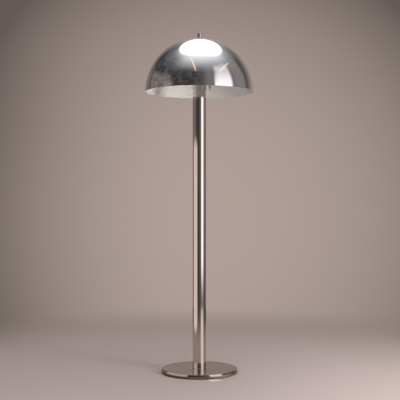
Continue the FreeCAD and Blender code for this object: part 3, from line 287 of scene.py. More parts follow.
class Nodes:
    """The node tree of a material or the world."""

    def __init__(self, owner):
        owner.use_nodes = True
        self.tree = owner.node_tree
        self.tree.nodes.clear()

    def add(self, kind, settings=None, sockets=None, output=0):
        """Makes one node: its settings first, then each socket's value or link."""
        node = self.tree.nodes.new(kind)
        for name, value in (settings or {}).items():
            setattr(node, name, value)
        for name, value in (sockets or {}).items():
            if isinstance(value, Wire):
                self.tree.links.new(value.socket, node.inputs[name])
            elif node.inputs[name].type == "RGBA":
                node.inputs[name].default_value = (*value, 1.0)
            else:
                node.inputs[name].default_value = value
        return Wire(self, node.outputs[output] if len(node.outputs) else None)

    def outputs_of(self, kind, sockets=None):
        """Makes one node and gives all its outputs by name."""
        outputs = self.add(kind, None, sockets).socket.node.outputs
        return {output.name: Wire(self, output) for output in outputs}

    def spot(self):
        """Object coordinates."""
        return self.add("ShaderNodeTexCoord", output="Object")

    def split(self, vector):
        """A vector's three numbers."""
        return self.outputs_of("ShaderNodeSeparateXYZ", {0: vector}).values()

    def vector(self, x, y, z):
        return self.add("ShaderNodeCombineXYZ", sockets={0: x, 1: y, 2: z})

    def length(self, vector):
        settings = {"operation": "LENGTH"}
        return self.add("ShaderNodeVectorMath", settings, {0: vector}, output="Value")

    def from_axis(self, x, y):
        """Distance from the column's axis."""
        return self.length(self.vector(x, y, 0.0))

    def azimuth(self, x, y):
        """Degrees round the column, 0 towards the camera and 90 to the right."""
        return x.math("ARCTAN2", 0.0 - y) * math.degrees(1)

    def noise(self, where, scale, detail=2.0, roughness=0.5):
        sockets = {"Vector": where, "Scale": scale, "Detail": detail, "Roughness": roughness}
        return self.add("ShaderNodeTexNoise", {"noise_dimensions": "3D"}, sockets)

    def blend(self, share, first, second):
        """A colour between two colours."""
        settings = {"data_type": "RGBA"}
        return self.add("ShaderNodeMix", settings, {0: share, 6: first, 7: second}, output=2)

    def bump(self, height, distance, strength):
        sockets = {"Height": height, "Distance": distance, "Strength": strength}
        return self.add("ShaderNodeBump", None, sockets)

    def principled(self, **sockets):
        """The shader itself, with each socket by its name in words joined by underscores."""
        named = {name.replace("_", " "): value for name, value in sockets.items()}
        return self.add("ShaderNodeBsdfPrincipled", None, named)

    def glow(self, colour):
        return self.add("ShaderNodeEmission", None, {"Color": colour, "Strength": 1.0})

    def clear(self):
        return self.add("ShaderNodeBsdfTransparent")

    def mixed(self, share, first, second):
        """A shader between two shaders."""
        return self.add("ShaderNodeMixShader", None, {0: share, 1: first, 2: second})

    def output(self, shader, kind="ShaderNodeOutputMaterial"):
        self.add(kind, None, {"Surface": shader})

    def surface(self, **sockets):
        """The whole of a material that is one shader."""
        self.output(self.principled(**sockets))


def material(name):
    made = bpy.data.materials.new(name)
    return made, Nodes(made)


# ---------------- finishes

BLACK, WHITE = (0.0, 0.0, 0.0), (1.0, 1.0, 1.0)
NICKEL, NICKEL_DULL = (0.76, 0.70, 0.655), (0.66, 0.60, 0.555)
# A darker copy of the nickel for the base plate: painted shade, so the plate looks darker than the
# column.
NICKEL_SHADED, NICKEL_SHADED_DULL = (0.475, 0.427, 0.394), (0.40, 0.36, 0.33)
ALUMINIUM, ALUMINIUM_DULL = (0.83, 0.84, 0.86), (0.72, 0.73, 0.76)
ENAMEL, ENAMEL_DULL = (0.80, 0.80, 0.77), (0.75, 0.75, 0.71)
MILK_GLASS, MILK_GLASS_DULL = (0.86, 0.85, 0.82), (0.80, 0.79, 0.75)
# How many grains of a pattern fit in a metre, across the polishing lines or turning marks and along
# them: on the drawn tube, on turnings and on small pieces.
TUBE_LINES, TUBE_LINES_ALONG = 900, 6
TURNED_LINES, TURNED_LINES_ALONG = 1800, 60
MARKS, MARKS_ALONG = 1600, 50


def polished_nickel(name, drawn=False, mirror=0.055):
    """Nickel plate over a polished piece. Fine polishing lines run along a drawn tube or round a
    turning, faint smudges make the gloss uneven, and a few hazy patches are a little duller."""
    made, nodes = material(name)
    spot = nodes.spot()
    x, y, z = nodes.split(spot)
    level = TUBE_LINES if drawn else TURNED_LINES_ALONG
    up = TUBE_LINES_ALONG if drawn else TURNED_LINES
    lines = nodes.noise(nodes.vector(x * level, y * level, z * up), 1.0, 3.0, 0.6)
    smudge = nodes.noise(spot, 14.0, 3.0, 0.55).ramp(0.45, 0.75)
    haze = nodes.noise(spot, 3.5, 2.0).ramp(0.40, 0.70)
    nodes.surface(
        Base_Color=nodes.blend(smudge * 0.35 + haze * 0.25, NICKEL, NICKEL_DULL),
        Metallic=1.0,
        Roughness=mirror + lines * 0.03 + smudge * 0.035 + haze * 0.02,
        Normal=nodes.bump(lines, 0.000004, 0.35),
    )
    return made


def base_nickel():
    """The plate's top was turned and polished: fine and coarse rings round the axis, wiped patches,
    and short cross scratches from years of dusting. Its edge is glossier than its top."""
    made, nodes = material("base_nickel")
    spot = nodes.spot()
    x, y, z = nodes.split(spot)
    radius = nodes.from_axis(x, y)
    rings = nodes.noise(nodes.vector(radius * 1400, 0.0, z * 300), 1.0, 4.0, 0.65)
    coarse = nodes.noise(nodes.vector(radius * 260, 0.0, 0.0), 1.0, 2.0)
    scratch = nodes.noise(nodes.vector(x * 40, y * 900, z), 1.0, 2.0).ramp(0.70, 0.78)
    wiped = nodes.noise(spot, 9.0, 3.0).ramp(0.42, 0.72)
    on_top = z.ramp(BASE_TOP - 1 * MM, BASE_TOP - 0.1 * MM)
    edge_rough = 0.06 + scratch * 0.04 + rings * 0.02
    # Painted shade: the plate's nickel is darker than the column's.
    nodes.surface(
        Base_Color=nodes.blend(wiped * 0.5 + coarse * 0.2, NICKEL_SHADED, NICKEL_SHADED_DULL),
        Metallic=1.0,
        Roughness=edge_rough + on_top * (0.09 + rings * 0.10 + wiped * 0.05),
        Normal=nodes.bump(rings * 0.6 + coarse * 0.4, 0.000012, 0.5),
    )
    return made


def shade_metal():
    """Spun aluminium, polished outside: rings of the spinning tool by height, long hairline
    scratches, cloudy wear. Inside it is white baked enamel with a faint pebble; the two meet in the
    middle of the sheet, told apart by the distance from the half sphere's centre."""
    made, nodes = material("shade_metal")
    spot = nodes.spot()
    x, y, z = nodes.split(spot)
    distance = nodes.length(nodes.vector(x, y, z - RIM_HEIGHT))
    outside = distance.ramp(SHADE_RADIUS - SHADE_WALL * 0.75, SHADE_RADIUS - SHADE_WALL * 0.45)
    inside = 1 - outside
    rings = nodes.noise(nodes.vector(z * 420, 0.0, 0.0), 1.0, 4.0, 0.6)
    hairline = nodes.noise(nodes.vector(x * 30, y * 30 + z * 260, z * 30), 1.0, 2.0).ramp(0.69, 0.74)
    cross = nodes.noise(nodes.vector(x * 280 + z * 90, y * 25, z * 25), 1.0, 2.0).ramp(0.70, 0.75)
    scratches = hairline + cross
    cloud = nodes.noise(spot, 7.0, 4.0, 0.6).ramp(0.35, 0.75)
    pebble = nodes.noise(spot, 900.0, 2.0)
    metal_rough = 0.060 + rings * 0.030 + cloud * 0.030 + scratches * 0.05
    enamel_rough = 0.32 + cloud * 0.08
    metal = nodes.blend(cloud * 0.30 + scratches * 0.2, ALUMINIUM, ALUMINIUM_DULL)
    relief = outside * (rings * 0.5 - scratches * 0.4) + inside * pebble * 3.0
    nodes.surface(
        Base_Color=nodes.blend(outside, nodes.blend(cloud, ENAMEL, ENAMEL_DULL), metal),
        Metallic=outside,
        Roughness=outside * metal_rough + inside * enamel_rough,
        Normal=nodes.bump(relief, 0.00002, 0.35),
    )
    return made


def plain_metal(name, bright, dull, rough, grain=0.00002, turned_marks=True):
    """Bright or brushed metal with marks of the given depth, round it where it was turned, and small
    stains."""
    made, nodes = material(name)
    spot = nodes.spot()
    x, y, z = nodes.split(spot)
    up = MARKS if turned_marks else MARKS_ALONG
    marks = nodes.noise(nodes.vector(x * MARKS_ALONG, y * MARKS_ALONG, z * up), 1.0, 3.0)
    stain = nodes.noise(spot, 60.0, 3.0).ramp(0.4, 0.8)
    nodes.surface(
        Base_Color=nodes.blend(stain * 0.7 + marks * 0.2, bright, dull),
        Metallic=1.0,
        Roughness=rough + marks * 0.08 + stain * 0.10,
        Normal=nodes.bump(marks, grain, 0.5),
    )
    return made


def plain_surface(name, light, dark, rough, scale, depth=0.00002, sheen=0.0, coat=0.0):
    """A moulded, fired or woven surface: a grain of the given scale in its colour, gloss and relief."""
    made, nodes = material(name)
    spot = nodes.spot()
    grain = nodes.noise(spot, scale, 4.0, 0.6)
    patch = nodes.noise(spot, scale / 12, 2.0).ramp(0.35, 0.7)
    nodes.surface(
        Base_Color=nodes.blend(grain * 0.6 + patch * 0.4, light, dark),
        Roughness=rough + grain * 0.12,
        Normal=nodes.bump(grain, depth, 0.7),
        Sheen_Weight=sheen,
        Coat_Weight=coat,
    )
    return made


def bulb_glass():
    """Soft white bulb glass: milky, glossy outside, with faint mottling."""
    made, nodes = material("bulb_glass")
    mottle = nodes.noise(nodes.spot(), 45.0, 3.0).ramp(0.3, 0.8)
    nodes.surface(
        Base_Color=nodes.blend(mottle, MILK_GLASS, MILK_GLASS_DULL),
        Roughness=0.18 + mottle * 0.06,
        Subsurface_Weight=0.25,
        Subsurface_Radius=(0.004, 0.004, 0.004),
        Coat_Weight=0.4,
        Coat_Roughness=0.08,
    )
    return made


# By the record's material slots, and three that single nickel pieces take instead.
FINISHES = {
    "tube": polished_nickel("column_nickel", drawn=True),
    "turning": polished_nickel("turned_nickel"),
    "nickel": polished_nickel("fitting_nickel", mirror=0.09),
    "base": base_nickel(),
    "shade_metal": shade_metal(),
    "bulb_glass": bulb_glass(),
    "zinc": plain_metal("zinc_plate", (0.62, 0.62, 0.60), (0.48, 0.49, 0.48), rough=0.28),
    "brass": plain_metal("plain_brass", (0.78, 0.60, 0.32), (0.58, 0.42, 0.21), rough=0.22),
    "bulb_metal": plain_metal("bulb_base_metal", (0.76, 0.77, 0.78), (0.60, 0.61, 0.62), rough=0.25),
    "spring_steel": plain_metal(
        "spring_steel", (0.50, 0.50, 0.52), (0.36, 0.36, 0.38), 0.25, grain=0.00001, turned_marks=False
    ),
    "white_enamel": plain_surface("white_enamel", ENAMEL, ENAMEL_DULL, rough=0.25, scale=700.0, coat=0.2),
    "phenolic": plain_surface(
        "dark_phenolic", (0.05, 0.032, 0.024), (0.03, 0.02, 0.016), rough=0.35, scale=400.0
    ),
    "porcelain": plain_surface(
        "porcelain", (0.82, 0.80, 0.74), (0.76, 0.73, 0.66), rough=0.42, scale=500.0, depth=0.00003
    ),
    "fibre": plain_surface(
        "pressed_fibre", (0.36, 0.27, 0.19), (0.26, 0.19, 0.13), rough=0.75, scale=900.0, depth=0.00004
    ),
    "felt": plain_surface(
        "wool_felt", (0.055, 0.06, 0.055), (0.03, 0.034, 0.03), 0.9, 1600.0, depth=0.0003, sheen=0.4
    ),
    "black_rubber": plain_surface(
        "black_rubber", (0.035, 0.035, 0.036), (0.022, 0.022, 0.023), rough=0.55, scale=800.0
    ),
}
for part in frame["record"]["subparts"]:
    node = frame["nodes"][part["node"]]
    node.data.materials.clear()
    node.data.materials.append(FINISHES[part["material_slot"]])


# ---------------- base and column


def make_base_plate():
    """Round plate whose edge leans in towards the top, with a nut recess and a cord slot below. The
    slot is a patch of the plate from the recess to the rim, raised to a roof at the slot's height, in
    the columns near +Y; there the columns run parallel to the slot instead of towards the axis."""
    recess, recess_depth = 42 * MM, 10 * MM
    half_slot, slot_height, roof_slope = 6 * MM, 9 * MM, 0.001
    edge_break, break_round = 1 * MM, 0.4 * MM
    upright_side, side_round, top_round = 9 * MM, 20 * MM, 1.5 * MM
    lean = (BASE_TOP - BASE_BOTTOM - upright_side) * math.tan(math.radians(20))
    outline = rounded(
        [
            (ROD_HOLE, BASE_BOTTOM + recess_depth),
            (recess, BASE_BOTTOM + recess_depth),
            (recess, BASE_BOTTOM),
            (BASE_RADIUS - edge_break, BASE_BOTTOM, break_round),
            (BASE_RADIUS, BASE_BOTTOM + edge_break, break_round),
            (BASE_RADIUS, BASE_BOTTOM + upright_side, side_round),
            (BASE_RADIUS - lean, BASE_TOP, top_round),
            (ROD_HOLE, BASE_TOP),
        ],
        steps=6,
    )
    radius, height = outline[:, :1], outline[:, 1:]
    share_around = np.linspace(0, 1, 224)
    share_across = np.linspace(-1, 1, 9)
    slot_edge = np.arcsin(np.minimum(half_slot / radius, 1.0))
    around = slot_edge + share_around * (2 * math.pi - 2 * slot_edge)
    across = np.arcsin(np.clip(share_across * half_slot / radius, -1, 1))
    from_slot = np.hstack([across, around])
    in_slot = np.hstack([np.ones_like(across, bool), np.zeros_like(around, bool)])
    in_slot &= radius >= recess - 1e-9
    roof = BASE_BOTTOM + slot_height + (height - BASE_BOTTOM) * roof_slope
    lifted = np.where(in_slot, np.maximum(height, roof), height)
    grid = np.stack([radius * np.sin(from_slot), radius * np.cos(from_slot), lifted], 2)
    fitted(skin("base_plate_turned", grid[:, ::-1]), "base_plate", "base")


def make_tube():
    """Long straight tube with a rolled bead where it stands on the plate and an eased top edge."""
    bead, ease = 0.6 * MM, 0.35 * MM
    heights = np.linspace(TUBE_BOTTOM, TUBE_TOP, 41)[1:-1]
    head = [(TUBE_RADIUS, TUBE_BOTTOM), (TUBE_RADIUS, TUBE_TOP, ease), (TUBE_INSIDE, TUBE_TOP)]
    outline = np.vstack(
        [
            [(TUBE_INSIDE, TUBE_BOTTOM)],
            arc((TUBE_RADIUS, TUBE_BOTTOM + bead), bead, -90, 90, 8),
            [(TUBE_RADIUS, TUBE_BOTTOM + 3 * bead)],
            upright(TUBE_RADIUS, heights),
            rounded(head, False)[1:],
            upright(TUBE_INSIDE, heights[::-1]),
        ]
    )
    fitted(turned("column_tube_turned", outline, 160), "column_tube", "tube")


def make_cap():
    """Collar over and into the tube's top, with a rounded shoulder: a circle through the shoulder's
    two ends, with its highest point at the inner one."""
    spigot_end, crown, radius = span("column_cap")
    fit, lip = 0.15 * MM, spigot_end + 6 * MM
    shoulder, landing = crown - 8 * MM, half_width("neck_sleeve") + 2 * MM
    reach, rise = radius - landing, crown - shoulder
    bend = (reach**2 + rise**2) / (2 * rise)
    sweep = math.degrees(math.asin(reach / bend))
    wall = [
        (ROD_HOLE, spigot_end),
        (TUBE_INSIDE - fit, spigot_end, 0.5 * MM),
        (TUBE_INSIDE - fit, TUBE_TOP),
        (TUBE_RADIUS + fit, TUBE_TOP),
        (TUBE_RADIUS + fit, lip, 0.25 * MM),
        (radius, lip, 0.5 * MM),
        (radius, shoulder),
    ]
    dome = arc((landing, crown - bend), bend, 90 - sweep, 90, 14)
    outline = np.vstack([rounded(wall, False), dome[1:], [(ROD_HOLE, crown)]])
    fitted(turned("column_cap_turned", outline, 160), "column_cap", "turning")


def make_riser():
    """Neck sleeve and coupling with bevelled ends, and the riser rod with a thinner stud on top."""
    sleeves = (("neck_sleeve", ROD_HOLE, 0.5 * MM), ("riser_coupling", 4 * MM, 1 * MM))
    for node, bore, bevel in sleeves:
        start, end, outer = span(node)
        corners = [(bore, start), (outer, start, bevel), (outer, end, bevel), (bore, end)]
        fitted(turned(f"{node}_turned", rounded(corners), 96), node, "turning")

    start, end, outer = span("riser_rod")
    shoulder, stud, bevel = low("crown_seat"), outer * 0.75, 0.5 * MM
    outline = rounded(
        [
            (0, start),
            (outer, start, bevel),
            (outer, shoulder, 0.3 * MM),
            (stud, shoulder),
            (stud, end, bevel),
            (0, end),
        ],
        False,
    )
    rod = turned("riser_rod_turned", outline, 64, ring_outline=False)
    fitted(rod, "riser_rod", "turning")


def make_crown_seat():
    """Narrow foot that flares out to the disc under the shade's crown."""
    start, end, outer = span("crown_seat")
    hub, bore = 7 * MM, 3 * MM
    edge, ease = end - 2 * MM, 0.3 * MM
    flare = outer - hub
    foot = [(bore, start), (hub, start, 0.4 * MM), (hub, edge)]
    plate = [(hub, end), (outer, edge, ease), (outer, end, ease), (bore, end)]
    outline = np.vstack(
        [
            rounded(foot, False)[:-1],
            arc((outer, start + 2 * MM), flare, 180, 118, 8),
            rounded(plate, False)[1:],
        ]
    )
    fitted(turned("crown_seat_turned", outline, 96), "crown_seat", "turning")


# ---------------- drum and pull switch


def make_drum():
    """Shallow pressed pan with a round lower edge, and its lid with a turned-down skirt."""
    corner, ease = 4 * MM, 0.3 * MM
    pan_inside = DRUM_RADIUS - DRUM_SHEET
    pan = rounded(
        [
            (ROD_HOLE, DRUM_FLOOR),
            (DRUM_RADIUS, DRUM_FLOOR, corner),
            (DRUM_RADIUS, DRUM_TOP, ease),
            (pan_inside, DRUM_TOP, ease),
            (pan_inside, DRUM_FLOOR + DRUM_SHEET, corner - DRUM_SHEET),
            (ROD_HOLE, DRUM_FLOOR + DRUM_SHEET),
        ],
        steps=8,
    )
    fitted(turned("drum_pan_pressed", pan, 128), "drum_pan", slot="white_enamel")
    start, end = low("drum_lid"), high("drum_lid")
    lid_inside = DRUM_RADIUS + 0.3 * MM
    lid = rounded(
        [
            (ROD_HOLE, end - DRUM_SHEET),
            (lid_inside, end - DRUM_SHEET, 0.2 * MM),
            (lid_inside, start, ease),
            (lid_inside + DRUM_SHEET, start, ease),
            (lid_inside + DRUM_SHEET, end, 1.5 * MM),
            (ROD_HOLE, end),
        ],
        steps=5,
    )
    fitted(turned("drum_lid_pressed", lid, 128), "drum_lid", slot="white_enamel")


def make_nozzle():
    """Threaded nozzle under the drum, with its flange inside, a narrow mouth and its hexagon nut."""
    start, end = low("switch_nozzle"), high("switch_nozzle")
    outer, flange, bore, mouth = 4.75 * MM, 5.6 * MM, 3.1 * MM, 1.9 * MM
    flange_start, mouth_end = end - 1 * MM, start + 2 * MM
    pitch, depth, sides = 0.9 * MM, 0.35 * MM, 72
    lip = [
        (mouth, start + 1 * MM),
        (mouth + 1 * MM, start, 0.2 * MM),
        (outer, start, 0.6 * MM),
        (outer, flange_start),
    ]
    outline = np.vstack(
        [
            rounded(lip, False)[:-1],
            upright(outer, np.linspace(start + 0.9 * MM, flange_start - 0.1 * MM, 90)),
            [(outer, flange_start), (flange, flange_start), (flange, end)],
            [(bore, end), (bore, mouth_end), (mouth, mouth_end)],
        ]
    )
    grid = threaded(outline, start + 1 * MM, flange_start, pitch, depth, sides)
    near_bore = outline[:, 0] < outer - 0.01 * MM
    grid[near_bore] = turned_grid(outline, sides)[near_bore]
    nozzle = skin("switch_nozzle_threaded", laid(grid, (CHAIN_X, 0, 0), (0, 0, 1)), crease=75)
    fitted(nozzle, "switch_nozzle")

    flats, bore = 13 * MM, 4.8 * MM
    start, end = low("nozzle_nut"), high("nozzle_nut")
    nut = hexagon_nut("nozzle_nut_cut", flats, start, end, bore, (CHAIN_X, 0, 0))
    fitted(nut, "nozzle_nut")


def hung(name, outline, sides, node):
    """A turned piece that hangs on the pull chain's axis and moves with it."""
    piece = turned(name, outline, sides, ring_outline=False, centre=(CHAIN_X, 0, 0))
    fitted(piece, node, body="pull_chain")


def make_chain():
    """String of round beads, each an arc from wire to wire."""
    beads, bead, wire = 8, 1.6 * MM, 0.5 * MM
    start, end = low("bead_chain"), high("bead_chain")
    pitch = (end - start) / beads
    waist = math.degrees(math.asin(wire / bead))
    middles = [start + pitch * (number + 0.5) for number in range(beads)]
    balls = [arc((0, middle), bead, waist - 90, 90 - waist, 14) for middle in middles]
    outline = np.vstack([[(0, start), (wire, start)], *balls, [(wire, end), (0, end)]])
    hung("bead_chain_strung", outline, 32, "bead_chain")


def make_knob():
    """Turned pull: a round tip on a thin stem that flares out to a belly and closes in to a collar
    with a round top."""
    start, end = low("pull_knob"), high("pull_knob")
    tip, belly, collar, crown = 3.5 * MM, 6.35 * MM, 1.9 * MM, 10.66 * MM
    neck, shoulder = start + 10.8 * MM, start + 18.9 * MM
    flare = belly - tip
    belly_start = neck + flare
    crown_middle = (collar - 6.3 * MM, end - 8.6 * MM)
    outline = np.vstack(
        [
            arc((0, start + tip), tip, -90, 0, 10),
            rounded([(tip, start + tip), (tip, neck, 0.2 * MM), (belly, belly_start)], False)[1:-1],
            arc((belly, neck), flare, 180, 95, 8)[1:],
            rounded([(belly, belly_start), (belly, shoulder, 1.2 * MM), (collar, end)], False)[1:-1],
            arc(crown_middle, crown, 30, 53.5, 8),
            [(0, end)],
        ]
    )
    hung("pull_knob_turned", outline, 72, "pull_knob")


# ---------------- lampholders and bulbs

# Along a lampholder's axis, from the drum's side outwards.
CUP_RADIUS, CUP_SHEET, CUP_END = 17.2 * MM, 0.7 * MM, 20 * MM
SHELL_START, SHELL_END = 11 * MM, 57 * MM
BULB_TIP, BULB_BASE_END, BULB_BASE_RADIUS, BULB_GLASS_LENGTH = 32 * MM, 57 * MM, 13.1 * MM, 68 * MM


def make_holder_cap(side, place):
    """Cap that swells from a narrow hub over a round shoulder to its cup."""
    nipple, hub, hub_end, cup_start = 4.9 * MM, 6.5 * MM, 4 * MM, 10 * MM
    swell, cup_inside, ease = hub_end + 1.3 * MM, CUP_RADIUS - CUP_SHEET, 0.3 * MM
    cup = [
        (hub, hub_end),
        (14.2 * MM, swell, 6 * MM),
        (CUP_RADIUS, cup_start, 3 * MM),
        (CUP_RADIUS, CUP_END, ease),
        (cup_inside, CUP_END, ease),
        (cup_inside, cup_start, 2.3 * MM),
        (13.9 * MM, swell + CUP_SHEET, 5 * MM),
        (hub, hub_end + CUP_SHEET),
        (nipple, hub_end + CUP_SHEET),
    ]
    foot = rounded([(nipple, 0), (hub, 0, ease), (hub, hub_end)], False)
    outline = np.vstack([foot, rounded(cup, False, 8)[1:]])
    cap = turned(f"socket_{side}_cap_pressed", outline, 96, **place)
    fitted(cap, f"socket_{side}_cap")


def make_holder_shell(side, place):
    """Shell with a rolled bead near its mouth: a circle's arc over the bead's chord and bulge."""
    outer = CUP_RADIUS - CUP_SHEET - 0.1 * MM
    inner = outer - CUP_SHEET
    bead, bulge, half_chord, curl = SHELL_END - 6.8 * MM, 0.8 * MM, 1.2 * MM, 0.33 * MM
    bend = (half_chord**2 + bulge**2) / (2 * bulge)
    sweep = math.degrees(math.asin(half_chord / bend))
    mouth = [(outer, bead), (outer, SHELL_END, curl), (inner, SHELL_END, curl), (inner, SHELL_START)]
    outline = np.vstack(
        [
            rounded([(inner, SHELL_START), (outer, SHELL_START, 0.3 * MM), (outer, bead)], False)[:-1],
            arc((outer + bulge - bend, bead), bend, -sweep, sweep, 10),
            rounded(mouth, False)[1:-1],
        ]
    )
    shell = turned(f"socket_{side}_shell_pressed", outline, 96, **place)
    fitted(shell, f"socket_{side}_shell")


def make_bulb_base(side, place):
    """Screw base that starts at the centre contact, widens over a cone and carries a rolled thread."""
    tip, end, radius = BULB_TIP, BULB_BASE_END, BULB_BASE_RADIUS
    pitch, depth, wall, sides, rings = 3.6 * MM, 0.8 * MM, 0.4 * MM, 96, 80
    first, last = tip + 6.5 * MM, end - 2.5 * MM
    inside, floor = radius - depth - wall, tip + 3 * MM
    contact = [
        (0, tip),
        (3.6 * MM, tip),
        (4.5 * MM, tip + 0.4 * MM),
        (5.5 * MM, tip + 1.5 * MM),
        (radius - 1.2 * MM, tip + 4.6 * MM),
    ]
    lining = [
        (radius - wall, end),
        (inside, end - 2 * MM),
        (inside, tip + 7 * MM),
        (4.5 * MM, floor),
        (0, floor),
    ]
    barrel = upright(radius, np.linspace(first, last, rings))
    outline = np.vstack([contact, barrel, [(radius, end - 0.2 * MM)], lining])
    grid = threaded(outline, first, last, pitch, depth, sides)
    grid[-len(lining) :] = turned_grid(outline, sides)[-len(lining) :]
    base = skin(f"bulb_{side}_base_rolled", laid(grid, **place), False, crease=60)
    fitted(base, f"bulb_{side}_base", body=f"bulb_{side}", slot="bulb_metal")


def make_bulb_glass(side, place):
    """Blown glass: a ball and a flare that touch each other, with the same two arcs set in by the
    thickness for the inside."""
    neck, ball, flare, thickness = 12 * MM, 25 * MM, 40 * MM, 0.8 * MM
    start, middle = BULB_BASE_END - 6 * MM, BULB_BASE_END + BULB_GLASS_LENGTH - ball
    drop = math.sqrt((flare + ball) ** 2 - (neck + flare) ** 2)
    lean = math.degrees(math.atan2(drop, neck + flare))
    flare_middle = (neck + flare, middle - drop)
    outline = np.vstack(
        [
            [(neck, start)],
            arc(flare_middle, flare, 180, 180 - lean, 16),
            arc((0, middle), ball, -lean, 90, 44)[1:],
            arc((0, middle), ball - thickness, 90, -lean, 30),
            arc(flare_middle, flare + thickness, 180 - lean, 180, 12)[1:],
            [(neck - thickness, start)],
        ]
    )
    glass = turned(f"bulb_{side}_glass_blown", outline, 96, **place)
    fitted(glass, f"bulb_{side}_glass", body=f"bulb_{side}", slot="bulb_glass")


def make_lampholder(side, azimuth):
    """A lampholder and its bulb, turned about an axis that points level away from the drum."""
    ahead = (math.cos(azimuth), math.sin(azimuth), 0)
    centre = (LAMPHOLDER_REACH * ahead[0], LAMPHOLDER_REACH * ahead[1], LAMPHOLDER_HEIGHT)
    place = {"centre": centre, "direction": ahead}
    make_holder_cap(side, place)
    make_holder_shell(side, place)
    make_bulb_base(side, place)
    make_bulb_glass(side, place)


# ---------------- shade and finial


def make_shade():
    """Half sphere of sheet with a small flat crown; the rim edge is only eased."""
    inner, ease, above_rim = SHADE_RADIUS - SHADE_WALL, 0.4 * MM, 2 * MM
    rise = CROWN_HEIGHT - RIM_HEIGHT
    crown = math.degrees(math.asin(rise / SHADE_RADIUS))
    inner_crown = math.degrees(math.asin((rise - SHADE_WALL) / inner))
    first, steps = 0.4, 110
    rim = [
        (inner, RIM_HEIGHT + above_rim),
        (inner, RIM_HEIGHT, ease),
        (SHADE_RADIUS, RIM_HEIGHT, ease),
        (SHADE_RADIUS, RIM_HEIGHT + above_rim),
    ]
    centre = (0, RIM_HEIGHT)
    outline = np.vstack(
        [
            rounded(rim, False)[1:-1],
            arc(centre, SHADE_RADIUS, first, crown, steps),
            [(CROWN_FLAT - 1 * MM, CROWN_HEIGHT), (CROWN_HOLE, CROWN_HEIGHT)],
            [(CROWN_HOLE, CROWN_HEIGHT - SHADE_WALL)],
            arc(centre, inner, inner_crown, first, steps),
        ]
    )
    shade = turned("dome_shade_spun", outline, 224)
    fitted(shade, "dome_shade", body="shade", slot="shade_metal")


def make_washer_and_finial():
    """Round-edged washer on the crown, and the plain finial with its blind hole for the stud."""
    start, end, outer = span("crown_washer")
    corners = [(CROWN_HOLE, start), (outer, start, 0.2 * MM), (outer, end, 0.5 * MM), (CROWN_HOLE, end)]
    washer = turned("crown_washer_turned", rounded(corners), 96)
    fitted(washer, "crown_washer", "turning", body="shade")

    start, end, outer = span("finial")
    bore, hole_end = 3.05 * MM, start + 13 * MM
    corners = [
        (0, hole_end),
        (bore, hole_end),
        (bore, start),
        (outer, start, 0.6 * MM),
        (outer, end, 0.8 * MM),
        (0, end),
    ]
    finial = turned("finial_turned", rounded(corners, False), 96, ring_outline=False)
    fitted(finial, "finial", "turning", body="finial")


make_base_plate()
make_tube()
make_cap()
make_riser()
make_crown_seat()
make_drum()
make_nozzle()
make_chain()
make_knob()
for side, azimuth in LAMPHOLDERS.items():
    make_lampholder(side, azimuth)
make_shade()
make_washer_and_finial()


# ---------------- studio

CAMERA_PLACE = (0.0025, -3.73, 0.729)
CAMERA_FOCAL_PIXELS = 881
PICTURE_PIXELS = 400
FLOOR_PALE = (0.535, 0.428, 0.415)
FLOOR_FAR = (0.468, 0.378, 0.345)
FLOOR_REACH = 2.4
# Colour of the painted caustic in front of the plate.
PAINTED_CAUSTIC_LIGHT = (0.98, 0.86, 0.80)
# The floor as polished surfaces see it: near the lamp, far from it, in the lamp's own shade and
# towards the tall softbox.
GLOW_REACH = 2.2
GLOW_NEAR, GLOW_FAR = (0.32, 0.25, 0.22), (0.108, 0.084, 0.074)
GLOW_SHADED, GLOW_LIT = (0.02, 0.015, 0.012), (0.80, 0.74, 0.70)
WALL = (0.433, 0.348, 0.314)
WALL_ASIDE = (0.27, 0.217, 0.197)
BACK_WALL = (0.375, 0.298, 0.270)
ROOM_DARK = (0.082, 0.075, 0.075)
CLUTTER_PALE = (0.50, 0.45, 0.44)
CEILING = (1.0, 1.0, 1.02)
EVEN_FILL = (0.34, 0.33, 0.325)
# The photographer's room as polished metal sees it: soft patches of the walls, each with its edges
# (azimuth from and to, elevation from and to), the softness of those edges and a colour. Degrees,
# azimuth 0 towards the camera and 90 to the right.
ROOM_PATCHES = (
    ((-150, -95, 24, 44), 8, (0.050, 0.048, 0.052)),
    ((-62, -8, -12, 38), 8, (0.054, 0.047, 0.047)),
    ((-128, -66, -14, 25), 4, (0.225, 0.185, 0.170)),
    ((-78, -60, 7, 15), 4, (0.235, 0.245, 0.270)),
    ((12, 34, -4, 46), 10, (0.185, 0.175, 0.175)),
    ((80, 116, -3, 44), 7, (0.250, 0.215, 0.202)),
    ((37, 75, -4, 46), 6, (0.740, 0.720, 0.710)),
)
DOME_MIDDLE = np.array([0, 0, RIM_HEIGHT])
REFLECTED_ONLY = dict(camera=False, diffuse=False, shadow=False, transmission=False, volume_scatter=False)


def stage_only(piece, finish, **seen_by):
    """Gives a stage piece its material and says which rays see it."""
    piece.data.materials.append(finish)
    for ray, seen in seen_by.items():
        setattr(piece, f"visible_{ray}", seen)


def towards(azimuth, elevation=0.0):
    """The direction at an azimuth and elevation, in degrees, 0 towards the camera, 90 to the right."""
    turn, rise = math.radians(azimuth), math.radians(elevation)
    level = math.cos(rise)
    return np.array([math.sin(turn) * level, -math.cos(turn) * level, math.sin(rise)])


def disc(name, reach, rings, height):
    """A round level sheet about the column, from its rim to a closing point in the middle."""
    radius = np.linspace(0, reach, rings)
    outline = np.stack([radius[::-1], 0 * radius + height], 1)
    return skin(name, turned_grid(outline, 96), ring_outline=False)


